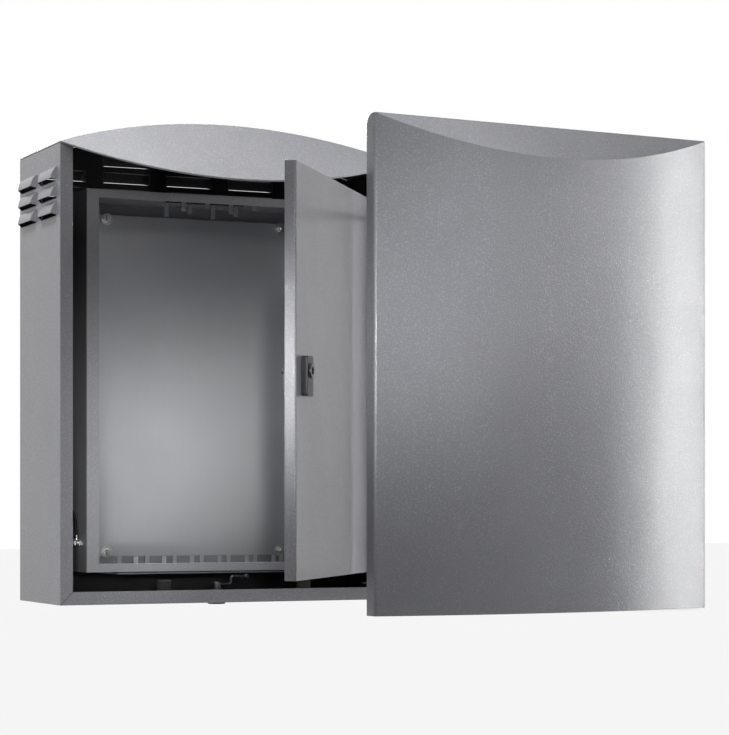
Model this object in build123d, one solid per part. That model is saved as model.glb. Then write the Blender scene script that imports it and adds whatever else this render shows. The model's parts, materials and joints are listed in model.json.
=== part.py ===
"""Double-skinned outdoor enclosure for a wall or a pole, shown open, in millimetres.

+X is to the right, +Y to the back and +Z up. The origin is the centre of the wall-fixing holes, on the
back face of the two rear rails. Depths inside the housing are given as a setback behind its front plane.
The front cover and the inner door are modelled closed and then turned to the open position.
"""

from build123d import *
from math import cos, hypot, radians, sin, sqrt, tan
import os

os.makedirs("parts", exist_ok=True)

# Outer housing
HOUSING_W = 570.0
HOUSING_H = 700.0
HOUSING_D = 210.0
SHEET = 2.0
FRONT_RETURN = 20.0
ROOF_RISE = 48.0
VISOR_BULGE = 39.0
VISOR_SLOPE = 1.19
ROOF_GAP = 0.4

# Louvres
LOUVRE_L = 82.0
LOUVRE_H = 19.0
LOUVRE_D = 8.0
LOUVRE_SKIN = 1.2
LOUVRE_PITCH_Z = 26.5
LOUVRE_PITCH_BACK = 108.0
LOUVRE_PITCH_SIDE = 104.0
LOUVRE_TOP_Z = 57.0
SIDE_LOUVRE_SETBACK = 57.0
SIDE_ROWS = 3
BACK_ROWS = ((-2, 3), (-1, 5), (0, 5))

# Inner enclosure
BOX_W = 462.0
BOX_HEADROOM = 64.0
BOX_D = 155.0
BOX_SHEET = 2.0
SPACER_X = 180.0
SPACER_DROP = 60.0
BOX_SETBACK = 38.0
BOX_FLOOR_Z = 48.0
RIM_SIDE = 20.0
RIM_END = 13.0

# Mounting plate
PLATE_W = 400.0
PLATE_MARGIN = 21.0
PLATE_T = 2.5
PLATE_GAP = 6.5
PLATE_FIX_X = 300.0
PLATE_FIX_INSET = 7.0
STUD_R = 4.0
WASHER_R = 9.5
WASHER_T = 1.6
NUT_R = 7.0
NUT_T = 6.0

# Gland openings in the floor and ceiling of the inner enclosure
GLAND_SETBACK = 112.0
GLAND_DEPTH = 75.0
FLOOR_GLAND_W = 320.0
CEILING_GLAND_W = 140.0
GLAND_LAP = 15.0
GLAND_T = 2.0
GASKET_T = 2.0
CLIP_W = 7.0
CLIP_T = 1.5
CLIP_H = 21.0
CLIP_FOOT = 12.0
FLOOR_CLIPS = 7
FLOOR_CLIP_PITCH = 46.5
CEILING_CLIPS = 4
CEILING_CLIP_PITCH = 40.0

# Inner door
DOOR_LAP = 6.0
DOOR_LAP_END = 3.5
DOOR_DEPTH = 17.0
DOOR_SHEET = 2.0
DOOR_GAP = 2.0
DOOR_OPEN = 51.5
SEAL_W = 9.0
SEAL_INSET = 4.0
SEAL_T = 14.5
PIN_OUT = 5.0
PIN_R = 3.0
KNUCKLE_R = 5.0
KNUCKLE_L = 22.0
HINGE_INSET = 94.0
LEAF_T = 2.5
LEAF_REACH = 42.0
RUN = 0.05
SEAT = 0.3

# Inner door lock
LOCK_INSET = 42.0
LOCK_UP = 1.5
LOCK_PLATE_W = 30.0
LOCK_PLATE_UP = 21.0
LOCK_PLATE_DOWN = 36.0
LOCK_PLATE_T = 10.0
LOCK_FACE_R = 10.5
LOCK_FACE_T = 3.0
LOCK_SLEEVE_R = 11.0
LOCK_CORE_R = 7.5
LOCK_NUT_R = 14.5
LOCK_NUT_T = 6.0
LOCK_REACH = 24.5
TONGUE_W = 16.0
TONGUE_L = 30.0
TONGUE_T = 3.0

# Front cover
COVER_SIDE_LAP = 2.0
COVER_END_LAP = 5.0
COVER_FLANGE = 24.0
COVER_BULGE = 35.0
COVER_SLOPE = 1.43
COVER_SHEET = 2.0
COVER_CORNER = 5.0
COVER_REAR_ROUND = 18.0
COVER_GAP = 0.5

# Cover linkage
ARM_L = 380.0
ARM_OPEN = 82.5
COVER_TURN = 3.5
ARM_X = 245.0
ARM_SETBACK = -4.0
LINK_DX = 20.0
LINK_DY = -14.0
LINK_COVER_DY = -15.4
LINK_SLACK = 0.6
ARM_W = 11.0
LINK_W = 8.0
ARM_T = 6.0
ARM_BOSS_R = 9.0
LINK_BOSS_R = 7.0
SHAFT_R = 6.0
PIVOT_R = 4.0
BRACKET_T = 3.0
LAYER_GAP = 0.4
UPPER_ARM_DROP = 94.0
UPPER_BRACKET_DROP = 57.0
COLLAR_R = 9.0
COLLAR_T = 3.0
HEAD_R = 6.5
HEAD_T = 2.2
BUFFER_X = 117.0
BUFFER_W = 20.0
BUFFER_D = 10.0
BUFFER_FOOT_Z = 8.0
BUFFER_TOP_Z = 36.0

# Cover lock
CAM_X = -19.0
CAM_SETBACK = 36.0
CAM_WIRE_R = 2.2
CAM_LOW_Z = 27.0
CAM_HIGH_Z = 39.0
CAM_KNEE = 24.0
CAM_REACH = 50.0
CAM_TIP_R = 4.2
CAM_HUB_R = 7.0
CAM_CORE_R = 5.0
CAM_SLEEVE_R = 9.0
CAM_SLEEVE_TOP = 20.0
CAM_FLANGE_R = 14.0
CAM_FLANGE_T = 3.5
KEEPER_SETBACK = -8.0
KEEPER_T = 1.5
KEEPER_LEFT = 14.0
KEEPER_RIGHT = 9.0
KEEPER_SLOT = 5.2
KEEPER_LOW_Z = 34.4
KEEPER_TOP_Z = 46.5

# Rear rails and pole bands
RAIL_L = 500.0
RAIL_D = 25.0
RAIL_WEB = 44.0
RAIL_FOOT = 12.0
RAIL_T = 3.0
RAIL_INSET = 130.0
RAIL_BOLT_X = 235.0
WALL_HOLE_X = 215.0
WALL_HOLE_R = 5.5
POLE_R = 75.0
BAND_W = 20.0
BAND_T = 1.5
BAND_SLOT = 6.0
BOLT_R = 4.0
BOLT_HEAD_R = 6.5
BOLT_HEAD_T = 5.3

# Cable entry in the housing floor
ENTRY_W = 240.0
ENTRY_D = 80.0
ENTRY_SETBACK = 130.0
ENTRY_LAP = 12.0

# Earth lead
LEAD_R = 2.0
LEAD_BEND = 10.0

# Worked-out places
FRONT_Y = -(RAIL_D + HOUSING_D)
BACK_Y = -RAIL_D
HALF_W = HOUSING_W / 2
TOP_Z = HOUSING_H / 2
BASE_Z = -HOUSING_H / 2
BOX_BACK = BOX_SETBACK + BOX_D
BOX_H = HOUSING_H - BOX_FLOOR_Z - BOX_HEADROOM
BOX_BASE_Z = BASE_Z + BOX_FLOOR_Z
BOX_TOP_Z = BOX_BASE_Z + BOX_H
BOX_MID_Z = (BOX_BASE_Z + BOX_TOP_Z) / 2
PLATE_H = BOX_H - 2 * PLATE_MARGIN
PLATE_FIX_Z = PLATE_H - 2 * PLATE_FIX_INSET
PLATE_BACK = BOX_BACK - BOX_SHEET - PLATE_GAP
PLATE_FRONT = PLATE_BACK - PLATE_T
DOOR_HALF_W = BOX_W / 2 + DOOR_LAP
DOOR_BASE_Z = BOX_BASE_Z - DOOR_LAP_END
DOOR_TOP_Z = BOX_TOP_Z + DOOR_LAP_END
DOOR_FACE = BOX_SETBACK - DOOR_GAP - DOOR_DEPTH
DOOR_REAR = BOX_SETBACK - DOOR_GAP
PIN_X = DOOR_HALF_W + PIN_OUT
PIN_SETBACK = DOOR_FACE + 7.0
HINGE_Z = BOX_H / 2 - HINGE_INSET
RAIL_Z = TOP_Z - RAIL_INSET
UPPER_ARM_Z = TOP_Z - UPPER_ARM_DROP
UPPER_BRACKET_Z = TOP_Z - UPPER_BRACKET_DROP
LOCK_X = -DOOR_HALF_W + LOCK_INSET
LOCK_Z = BOX_MID_Z + LOCK_UP
LOCK_OUT = DOOR_FACE - LOCK_PLATE_T
COVER_W = HOUSING_W + 2 * COVER_SIDE_LAP
COVER_BASE_Z = BASE_Z - COVER_END_LAP
COVER_TOP_Z = TOP_Z + COVER_END_LAP
BRACKET_Z = FRONT_RETURN + COLLAR_T + 2 * LAYER_GAP
ARM_Z = BASE_Z + BRACKET_Z + BRACKET_T + LAYER_GAP
MOVE_X = ARM_L * (1 - cos(radians(ARM_OPEN)))
MOVE_Y = -ARM_L * sin(radians(ARM_OPEN))


def at(setback):
    """Y of a point a setback behind the housing's front plane."""
    return FRONT_Y + setback


def block(x0, x1, y0, y1, z0, z1):
    """Box between two corners."""
    return Pos((x0 + x1) / 2, (y0 + y1) / 2, (z0 + z1) / 2) * Box(x1 - x0, y1 - y0, z1 - z0)


def rod_x(x0, x1, y, z, r):
    return Pos((x0 + x1) / 2, y, z) * Rot(0, 90, 0) * Cylinder(r, x1 - x0)


def rod_y(x, y0, y1, z, r):
    return Pos(x, (y0 + y1) / 2, z) * Rot(90, 0, 0) * Cylinder(r, y1 - y0)


def rod_z(x, y, z0, z1, r):
    return Pos(x, y, (z0 + z1) / 2) * Cylinder(r, z1 - z0)


def hex_y(x, y0, y1, z, r):
    """Hexagon nut or head with its axis along Y."""
    face = Plane((x, y0, z), x_dir=(1, 0, 0), z_dir=(0, 1, 0)) * RegularPolygon(r, 6)
    return extrude(face, y1 - y0, dir=(0, 1, 0))


def hex_z(x, y, z0, z1, r):
    return Pos(x, y, z0) * extrude(RegularPolygon(r, 6), z1 - z0, dir=(0, 0, 1))


def outline_z(points, z0, z1):
    """Straight-sided plan outline raised from z0 to z1."""
    return Pos(0, 0, z0) * extrude(make_face(Polyline(*points, close=True)), z1 - z0, dir=(0, 0, 1))


def outline_x(points, x0, x1):
    """Outline of (y, z) points carried along X from x0 to x1."""
    face = make_face(Polyline(*[(x0, y, z) for y, z in points], close=True))
    return extrude(face, x1 - x0, dir=(1, 0, 0))


def write(shape, name):
    export_step(shape if isinstance(shape, (Part, Compound)) else Part() + shape, f"parts/{name}.step")


def group(shapes):
    """Separate solids in one node."""
    return Compound(children=[piece for shape in shapes for piece in shape.solids()])


# Louvres
def louvre_wedge(length, height, depth):
    """Hood volume on the XZ plane: curved in section, with splayed ends, outwards along +Y."""
    section = Line((0, 0, 0), (0, 0, height)) + Line((0, depth, 0), (0, 0, 0))
    section += ThreePointArc((0, 0, height), (0, depth * 0.72, height * 0.5), (0, depth, 0))
    body = extrude(make_face(section), length / 2, dir=(1, 0, 0), both=True)
    half = length / 2
    plan = [(-half, 0), (half, 0), (half - depth, depth), (-half + depth, depth)]
    return body & outline_z(plan, 0, height)


LOUVRE_OUTER = louvre_wedge(LOUVRE_L, LOUVRE_H, LOUVRE_D)
LOUVRE_INNER = louvre_wedge(
    LOUVRE_L - 2 * LOUVRE_SKIN, LOUVRE_H - LOUVRE_SKIN, LOUVRE_D - LOUVRE_SKIN
)
LOUVRE_HOOD = LOUVRE_OUTER - LOUVRE_INNER
LOUVRE_SLOT = Pos(0, -SHEET / 2, (LOUVRE_H - LOUVRE_SKIN) / 2) * Box(
    LOUVRE_L - 2 * LOUVRE_SKIN, SHEET * 2, LOUVRE_H - LOUVRE_SKIN
)


def louvre_places():
    """Where each louvre sits, with its outward direction turned to the wall's."""
    places = []
    top = TOP_Z - LOUVRE_TOP_Z
    for row in range(SIDE_ROWS):
        for column in range(2):
            y = at(SIDE_LOUVRE_SETBACK + column * LOUVRE_PITCH_SIDE)
            z = top - row * LOUVRE_PITCH_Z
            places.append(Pos(-HALF_W, y, z) * Rot(0, 0, 90))
            places.append(Pos(HALF_W, y, z) * Rot(0, 0, -90))
    for row, count in BACK_ROWS:
        for column in range(count):
            x = (column - (count - 1) / 2) * LOUVRE_PITCH_BACK
            places.append(Pos(x, BACK_Y, top - row * LOUVRE_PITCH_Z))
    return places


# Roof
ROOF_R = (HALF_W**2 + ROOF_RISE**2) / (2 * ROOF_RISE)
VISOR_R = (HALF_W**2 + VISOR_BULGE**2) / (2 * VISOR_BULGE)
VISOR_DROP = VISOR_SLOPE * VISOR_BULGE


def arch(lower, y0, y1):
    """Solid under the roof arch, with the arch brought in by lower."""
    centre_z = TOP_Z + ROOF_RISE - ROOF_R
    disc = rod_y(0, y0, y1, centre_z, ROOF_R - lower)
    return disc & block(-HALF_W, HALF_W, y0, y1, TOP_Z - 2 * VISOR_DROP, TOP_Z + ROOF_RISE)


def under_visor(lower, x):
    """Half space below the visor plane, brought in by lower measured square to it."""
    shift = lower * sqrt(1 + VISOR_SLOPE**2)
    near, far = -3 * VISOR_BULGE, HOUSING_D * 2
    points = [
        (at(near), TOP_Z + VISOR_SLOPE * near - shift),
        (at(far), TOP_Z + VISOR_SLOPE * far - shift),
        (at(far), TOP_Z - HOUSING_H),
        (at(near), TOP_Z - HOUSING_H),
    ]
    return outline_x(points, -x, x)


def roof_panel():
    front = at(-VISOR_BULGE)
    plan = rod_z(0, front + VISOR_R, BASE_Z, TOP_Z + 2 * ROOF_RISE, VISOR_R)
    plan = plan & block(-HALF_W, HALF_W, front - 1, BACK_Y, BASE_Z, TOP_Z + 2 * ROOF_RISE)
    outer = arch(0, front - 1, BACK_Y) & under_visor(0, HALF_W) & plan
    wide = HALF_W + 1
    centre_z = TOP_Z + ROOF_RISE - ROOF_R
    inner = rod_y(0, front - 2, BACK_Y + 1, centre_z, ROOF_R - SHEET)
    inner = inner & block(-wide, wide, front - 2, BACK_Y + 1, TOP_Z - 3 * VISOR_DROP, TOP_Z + ROOF_RISE)
    inner = inner & under_visor(SHEET, wide)
    return outer - inner


def housing_shell():
    """Folded shell: two sides, floor, arched back with louvres, and three front returns."""
    edge = SHEET + ROOF_GAP
    under_roof = rod_y(0, FRONT_Y, BACK_Y, TOP_Z + ROOF_RISE - ROOF_R, ROOF_R - edge)
    outer = block(-HALF_W, HALF_W, FRONT_Y, BACK_Y, BASE_Z, TOP_Z + ROOF_RISE)
    outer = outer & under_roof & under_visor(edge, HALF_W + 1)
    inner = block(
        -HALF_W + SHEET, HALF_W - SHEET, at(SHEET), BACK_Y - SHEET, BASE_Z + SHEET, TOP_Z + ROOF_RISE
    )
    mouth = block(
        -HALF_W + FRONT_RETURN,
        HALF_W - FRONT_RETURN,
        at(-1),
        at(SHEET + 1),
        BASE_Z + FRONT_RETURN,
        TOP_Z + ROOF_RISE,
    )
    shell = outer - inner - mouth
    places = louvre_places()
    shell = shell - [place * LOUVRE_SLOT for place in places]
    shell = shell + [place * LOUVRE_HOOD for place in places]
    y = at(ENTRY_SETBACK)
    entry = block(
        -ENTRY_W / 2, ENTRY_W / 2, y - ENTRY_D / 2, y + ENTRY_D / 2, BASE_Z - 1, BASE_Z + SHEET + 1
    )
    holes = [rod_z(CAM_X, at(CAM_SETBACK), BASE_Z - 1, BASE_Z + SHEET + 1, CAM_SLEEVE_R)]
    holes += [rod_z(sx, sy, BASE_Z - 1, BASE_Z + SHEET + 1, ENTRY_SCREW_R) for sx, sy in entry_screws()]
    holes += [
        rod_y(x, BACK_Y - SHEET - 1, BACK_Y + 1, z, BOLT_R) for x, z in rail_bolt_places() + spacer_places()
    ]
    return shell - entry - holes


# Cable entry
ENTRY_SCREW_R = 2.5


def entry_screws():
    x = ENTRY_W / 2 + ENTRY_LAP / 2
    y = ENTRY_D / 2 + ENTRY_LAP / 2
    return [(sx * x, at(ENTRY_SETBACK) + sy * y) for sx in (-1, 1) for sy in (-1, 1)]


def entry_plate():
    x = ENTRY_W / 2 + ENTRY_LAP
    y = ENTRY_D / 2 + ENTRY_LAP
    middle = at(ENTRY_SETBACK)
    plate = block(-x, x, middle - y, middle + y, BASE_Z + SHEET, BASE_Z + 2 * SHEET)
    return plate - [rod_z(sx, sy, BASE_Z, BASE_Z + 3 * SHEET, ENTRY_SCREW_R) for sx, sy in entry_screws()]


def entry_plate_screws():
    screws = []
    for x, y in entry_screws():
        shank = rod_z(x, y, BASE_Z, BASE_Z + 2 * SHEET + 3, ENTRY_SCREW_R)
        screws.append(shank + rod_z(x, y, BASE_Z - 2.5, BASE_Z, 2 * ENTRY_SCREW_R))
    return group(screws)


# Rear rails, bands and their bolts
def rail_bolt_places():
    z = RAIL_WEB / 2 + RAIL_FOOT / 2
    return [
        (sx * RAIL_BOLT_X, sz * RAIL_Z + dz) for sx in (-1, 1) for sz in (-1, 1) for dz in (-z, z)
    ]


def rear_rail(z):
    """Hat section: web at the back, two walls forward, feet flat on the housing."""
    half, foot = RAIL_WEB / 2, RAIL_WEB / 2 + RAIL_FOOT
    x = RAIL_L / 2
    web = block(-x, x, -RAIL_T, 0, z - half, z + half)
    inside = half - RAIL_T
    rail = web
    for low, high, outer in ((-half, -inside, -foot), (inside, half, foot)):
        wall = block(-x, x, BACK_Y, 0, z + low, z + high)
        foot_low, foot_high = min(low, outer), max(high, outer)
        rail = rail + wall + block(-x, x, BACK_Y, BACK_Y + RAIL_T, z + foot_low, z + foot_high)
    holes = [rod_y(s * WALL_HOLE_X, -RAIL_T - 1, 1, z, WALL_HOLE_R) for s in (-1, 1)]
    holes += [
        rod_y(bx, BACK_Y - 1, BACK_Y + RAIL_T + 1, bz, BOLT_R)
        for bx, bz in rail_bolt_places()
        if abs(bz - z) < foot
    ]
    slot_x = POLE_R + BAND_T / 2
    slots = [
        block(
            s * slot_x - BAND_SLOT / 2,
            s * slot_x + BAND_SLOT / 2,
            -RAIL_T - 1,
            1,
            z - BAND_W / 2 - 2,
            z + BAND_W / 2 + 2,
        )
        for s in (-1, 1)
    ]
    return rail - holes - slots


def rail_bolts():
    bolts = []
    for x, z in rail_bolt_places():
        shank = rod_y(x, BACK_Y - SHEET, BACK_Y + RAIL_T, z, BOLT_R)
        head = rod_y(x, BACK_Y - SHEET - 3, BACK_Y - SHEET, z, BOLT_HEAD_R)
        nut = hex_y(x, BACK_Y + RAIL_T, BACK_Y + RAIL_T + NUT_T, z, BOLT_HEAD_R)
        bolts.append(shank + head + nut)
    return group(bolts)


def band_loop(grow, z, height):
    """Filled band outline: half round behind the pole, straight to a flat run inside the rail."""
    r = POLE_R + grow
    front = -RAIL_T - SEAT - BAND_T + (BAND_T - grow)
    lines = Polyline((r, POLE_R, 0), (r, front, 0), (-r, front, 0), (-r, POLE_R, 0))
    lines += ThreePointArc((-r, POLE_R, 0), (0, POLE_R + r, 0), (r, POLE_R, 0))
    return Pos(0, 0, z - height / 2) * extrude(make_face(lines), height, dir=(0, 0, 1))


def pole_band(z):
    return band_loop(BAND_T, z, BAND_W) - band_loop(0, z, BAND_W + 2)


def band_screws():
    """Worm housing and hexagon screw on the side of each band."""
    x = POLE_R + BAND_T
    screws = []
    for z in (-RAIL_Z, RAIL_Z):
        case = block(x, x + 11, POLE_R - 16, POLE_R + 6, z - BAND_W / 2 + 1, z + BAND_W / 2 - 1)
        shank = rod_y(x + 6, POLE_R - 20, POLE_R - 16, z, 3)
        screws.append(case + shank + hex_y(x + 6, POLE_R - 26, POLE_R - 20, z, 5.5))
    return group(screws)


# Inner enclosure
def gland_hole(width, z0, z1):
    y = at(GLAND_SETBACK)
    return block(-width / 2, width / 2, y - GLAND_DEPTH / 2, y + GLAND_DEPTH / 2, z0, z1)


def spacer_places():
    z = RAIL_Z - SPACER_DROP
    return [(sx * SPACER_X, BOX_MID_Z + sz * z) for sx in (-1, 1) for sz in (-1, 1)]


def stud_places():
    x, z = PLATE_FIX_X / 2, PLATE_FIX_Z / 2
    return [(sx * x, BOX_MID_Z + sz * z) for sx in (-1, 1) for sz in (-1, 1)]


def inner_enclosure_body():
    x = BOX_W / 2
    t = BOX_SHEET
    outer = block(-x, x, at(BOX_SETBACK), at(BOX_BACK), BOX_BASE_Z, BOX_TOP_Z)
    inner = block(
        -x + t, x - t, at(BOX_SETBACK + t), at(BOX_BACK - t), BOX_BASE_Z + t, BOX_TOP_Z - t
    )
    mouth = block(
        -x + RIM_SIDE,
        x - RIM_SIDE,
        at(BOX_SETBACK - 1),
        at(BOX_SETBACK + t + 1),
        BOX_BASE_Z + RIM_END,
        BOX_TOP_Z - RIM_END,
    )
    floor_hole = gland_hole(FLOOR_GLAND_W, BOX_BASE_Z - 1, BOX_BASE_Z + t + 1)
    ceiling_hole = gland_hole(CEILING_GLAND_W, BOX_TOP_Z - t - 1, BOX_TOP_Z + 1)
    holes = [rod_y(bx, at(BOX_BACK - t - 1), at(BOX_BACK + 1), bz, BOLT_R) for bx, bz in spacer_places()]
    return outer - inner - mouth - floor_hole - ceiling_hole - holes


def enclosure_spacers():
    tubes = []
    for x, z in spacer_places():
        tubes.append(
            rod_y(x, at(BOX_BACK), BACK_Y - SHEET, z, 3 * BOLT_R)
            - rod_y(x, at(BOX_BACK) - 1, BACK_Y, z, BOLT_R)
        )
    return group(tubes)


def enclosure_bolts():
    bolts = []
    for x, z in spacer_places():
        inside = at(BOX_BACK - BOX_SHEET)
        shank = rod_y(x, inside, BACK_Y, z, BOLT_R)
        head = hex_y(x, inside - BOLT_HEAD_T, inside, z, BOLT_HEAD_R)
        nut = hex_y(x, BACK_Y, BACK_Y + NUT_T, z, BOLT_HEAD_R)
        bolts.append(shank + head + nut)
    return group(bolts)


def mounting_plate():
    x = PLATE_W / 2
    z = PLATE_H / 2
    plate = block(-x, x, at(PLATE_FRONT), at(PLATE_BACK), BOX_MID_Z - z, BOX_MID_Z + z)
    return plate - [
        rod_y(sx, at(PLATE_FRONT) - 1, at(PLATE_BACK) + 1, sz, STUD_R + RUN) for sx, sz in stud_places()
    ]


def plate_studs():
    """Welded studs with a collar that holds the plate off the back wall."""
    studs = []
    wall = at(BOX_BACK - BOX_SHEET)
    for x, z in stud_places():
        stud = rod_y(x, at(PLATE_FRONT) - WASHER_T - NUT_T - 4, wall, z, STUD_R)
        studs.append(stud + rod_y(x, at(PLATE_BACK), wall, z, 2 * STUD_R))
    return group(studs)


def plate_nuts():
    nuts = []
    face = at(PLATE_FRONT)
    for x, z in stud_places():
        washer = rod_y(x, face - WASHER_T, face, z, WASHER_R)
        nut = hex_y(x, face - WASHER_T - NUT_T, face - WASHER_T, z, NUT_R)
        nuts.append(washer + nut - rod_y(x, face - WASHER_T - NUT_T - 1, face + 1, z, STUD_R + RUN))
    return group(nuts)


def gland_gasket(width, z0):
    y = at(GLAND_SETBACK)
    half = width / 2 + GLAND_LAP
    deep = GLAND_DEPTH / 2 + GLAND_LAP
    pad = block(-half, half, y - deep, y + deep, z0, z0 + GASKET_T)
    return pad - gland_hole(width, z0 - 1, z0 + GASKET_T + 1)


def gland_plate(width, z0):
    """Closing plate on the outside of a gland opening."""
    y = at(GLAND_SETBACK)
    half = width / 2 + GLAND_LAP
    deep = GLAND_DEPTH / 2 + GLAND_LAP
    return block(-half, half, y - deep, y + deep, z0, z0 + GLAND_T)


def gland_clips(count, pitch, wall_z, way):
    """Angle clips on both long sides of a gland opening, standing into the enclosure."""
    clips = []
    for column in range(count):
        x = (column - (count - 1) / 2) * pitch
        tall = CLIP_H if column % 2 == 0 or way > 0 else CLIP_H * 0.7
        for side in (-1, 1):
            y = at(GLAND_SETBACK) + side * (GLAND_DEPTH / 2 + 1)
            end = y + side * CLIP_FOOT
            foot_z = sorted((wall_z, wall_z + way * CLIP_T))
            leg_z = sorted((wall_z, wall_z + way * tall))
            foot = block(x - CLIP_W / 2, x + CLIP_W / 2, min(y, end), max(y, end), *foot_z)
            leg_y = sorted((y, y + side * CLIP_T))
            clips.append(foot + block(x - CLIP_W / 2, x + CLIP_W / 2, *leg_y, *leg_z))
    return group(clips)


# Inner door
DOOR_TURN = Pos(PIN_X, at(PIN_SETBACK), 0) * Rot(0, 0, DOOR_OPEN) * Pos(-PIN_X, -at(PIN_SETBACK), 0)


def inner_door_shell():
    x = DOOR_HALF_W
    t = DOOR_SHEET
    outer = block(-x, x, at(DOOR_FACE), at(DOOR_REAR), DOOR_BASE_Z, DOOR_TOP_Z)
    upright = outer.edges().filter_by(Axis.Z).group_by(Axis.Y)[0]
    outer = fillet(upright, 3.0)
    inner = block(-x + t, x - t, at(DOOR_FACE + t), at(DOOR_REAR) + 1, DOOR_BASE_Z + t, DOOR_TOP_Z - t)
    hole = rod_y(LOCK_X, at(DOOR_FACE) - 1, at(DOOR_FACE + t) + 1, LOCK_Z, LOCK_SLEEVE_R)
    return outer - inner - hole


def inner_door_gasket():
    """Foamed seal, a frame that meets the rim of the enclosure when the door is shut."""
    x = DOOR_HALF_W - DOOR_SHEET - SEAL_INSET
    z0 = DOOR_BASE_Z + DOOR_SHEET + SEAL_INSET
    z1 = DOOR_TOP_Z - DOOR_SHEET - SEAL_INSET
    y0 = at(DOOR_FACE + DOOR_SHEET)
    y1 = y0 + SEAL_T
    ring = block(-x, x, y0, y1, z0, z1)
    return ring - block(-x + SEAL_W, x - SEAL_W, y0 - 1, y1 + 1, z0 + SEAL_W, z1 - SEAL_W)


def hinge_heights():
    return [BOX_MID_Z - HINGE_Z, BOX_MID_Z + HINGE_Z]


def hinge_box_leaves():
    """Cranked leaf on the enclosure's side, with the lower knuckle."""
    side = BOX_W / 2
    y_pin = at(PIN_SETBACK)
    y0 = at(BOX_SETBACK) + LEAF_T
    leaves = []
    for z in hinge_heights():
        low = z - KNUCKLE_L
        top = z - SEAT
        flat = block(side, side + LEAF_T, y0, y0 + LEAF_REACH, low, top)
        crank = block(side, PIN_X + LEAF_T, y0, y0 + LEAF_T, low, top)
        reach = block(PIN_X, PIN_X + LEAF_T, y_pin, y0 + LEAF_T, low, top)
        leaf = flat + crank + reach + rod_z(PIN_X, y_pin, low, top, KNUCKLE_R)
        leaves.append(leaf - rod_z(PIN_X, y_pin, low - 1, top + 1, PIN_R + RUN))
    return group(leaves)


def hinge_door_leaves():
    y_pin = at(PIN_SETBACK)
    leaves = []
    for z in hinge_heights():
        top = z + KNUCKLE_L
        low = z + SEAT
        tab = block(DOOR_HALF_W, PIN_X, y_pin - LEAF_T / 2, y_pin + LEAF_T / 2, low, top)
        leaf = tab + rod_z(PIN_X, y_pin, low, top, KNUCKLE_R)
        leaves.append(leaf - rod_z(PIN_X, y_pin, low - 1, top + 1, PIN_R + RUN))
    return group(leaves)


def hinge_pins():
    y_pin = at(PIN_SETBACK)
    pins = []
    for z in hinge_heights():
        top = z + KNUCKLE_L + SEAT
        pin = rod_z(PIN_X, y_pin, z - KNUCKLE_L - 1, top, PIN_R)
        pins.append(pin + rod_z(PIN_X, y_pin, top, top + 2, KNUCKLE_R))
    return group(pins)


# Inner door lock
def inner_lock_case():
    z = LOCK_Z
    half = LOCK_PLATE_W / 2
    case = block(
        LOCK_X - half, LOCK_X + half, at(LOCK_OUT), at(DOOR_FACE), z - LOCK_PLATE_DOWN, z + LOCK_PLATE_UP
    )
    case = fillet(case.edges().filter_by(Axis.Y), 3.0)
    sleeve = rod_y(LOCK_X, at(DOOR_FACE), at(DOOR_FACE + LOCK_REACH), z, LOCK_SLEEVE_R)
    bore = rod_y(LOCK_X, at(LOCK_OUT) - 1, at(DOOR_FACE + LOCK_REACH) + 1, z, LOCK_CORE_R + RUN)
    return case + sleeve - bore


def inner_lock_nut():
    z = LOCK_Z
    y0 = at(DOOR_FACE + DOOR_SHEET)
    nut = hex_y(LOCK_X, y0, y0 + LOCK_NUT_T, z, LOCK_NUT_R)
    return nut - rod_y(LOCK_X, y0 - 1, y0 + LOCK_NUT_T + 1, z, LOCK_SLEEVE_R)


def inner_lock_barrel():
    """Turning core with a recessed double-bit face."""
    z = LOCK_Z
    face = at(LOCK_OUT) - SEAT
    core = rod_y(LOCK_X, face, at(DOOR_FACE + LOCK_REACH) + SEAT, z, LOCK_CORE_R)
    disc = rod_y(LOCK_X, face - LOCK_FACE_T, face, z, LOCK_FACE_R)
    recess = rod_y(LOCK_X, face - LOCK_FACE_T - 1, face + 5, z, LOCK_CORE_R - 2)
    bits = rod_y(LOCK_X, face - 1, face + 6, z, 2.0) + block(
        LOCK_X - 4, LOCK_X + 4, face - 1, face + 6, z - 1, z + 1
    )
    return core + disc - recess + bits


def inner_lock_cam():
    """Tongue that turns behind the enclosure's rim, with its screw."""
    z = LOCK_Z
    y0 = at(DOOR_FACE + LOCK_REACH) + SEAT
    y1 = y0 + TONGUE_T
    arm = block(LOCK_X - TONGUE_W / 2, LOCK_X + TONGUE_W / 2, y0, y1, z - TONGUE_L, z)
    arm = fillet(arm.edges().filter_by(Axis.Y).group_by(Axis.Z)[0], 4.0)
    hub = rod_y(LOCK_X, y0, y1, z, TONGUE_W / 2)
    return arm + hub + hex_y(LOCK_X, y1, y1 + 4, z, 5.0)


# Front cover
COVER_R = ((COVER_W / 2) ** 2 + COVER_BULGE**2) / (2 * COVER_BULGE)


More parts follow.
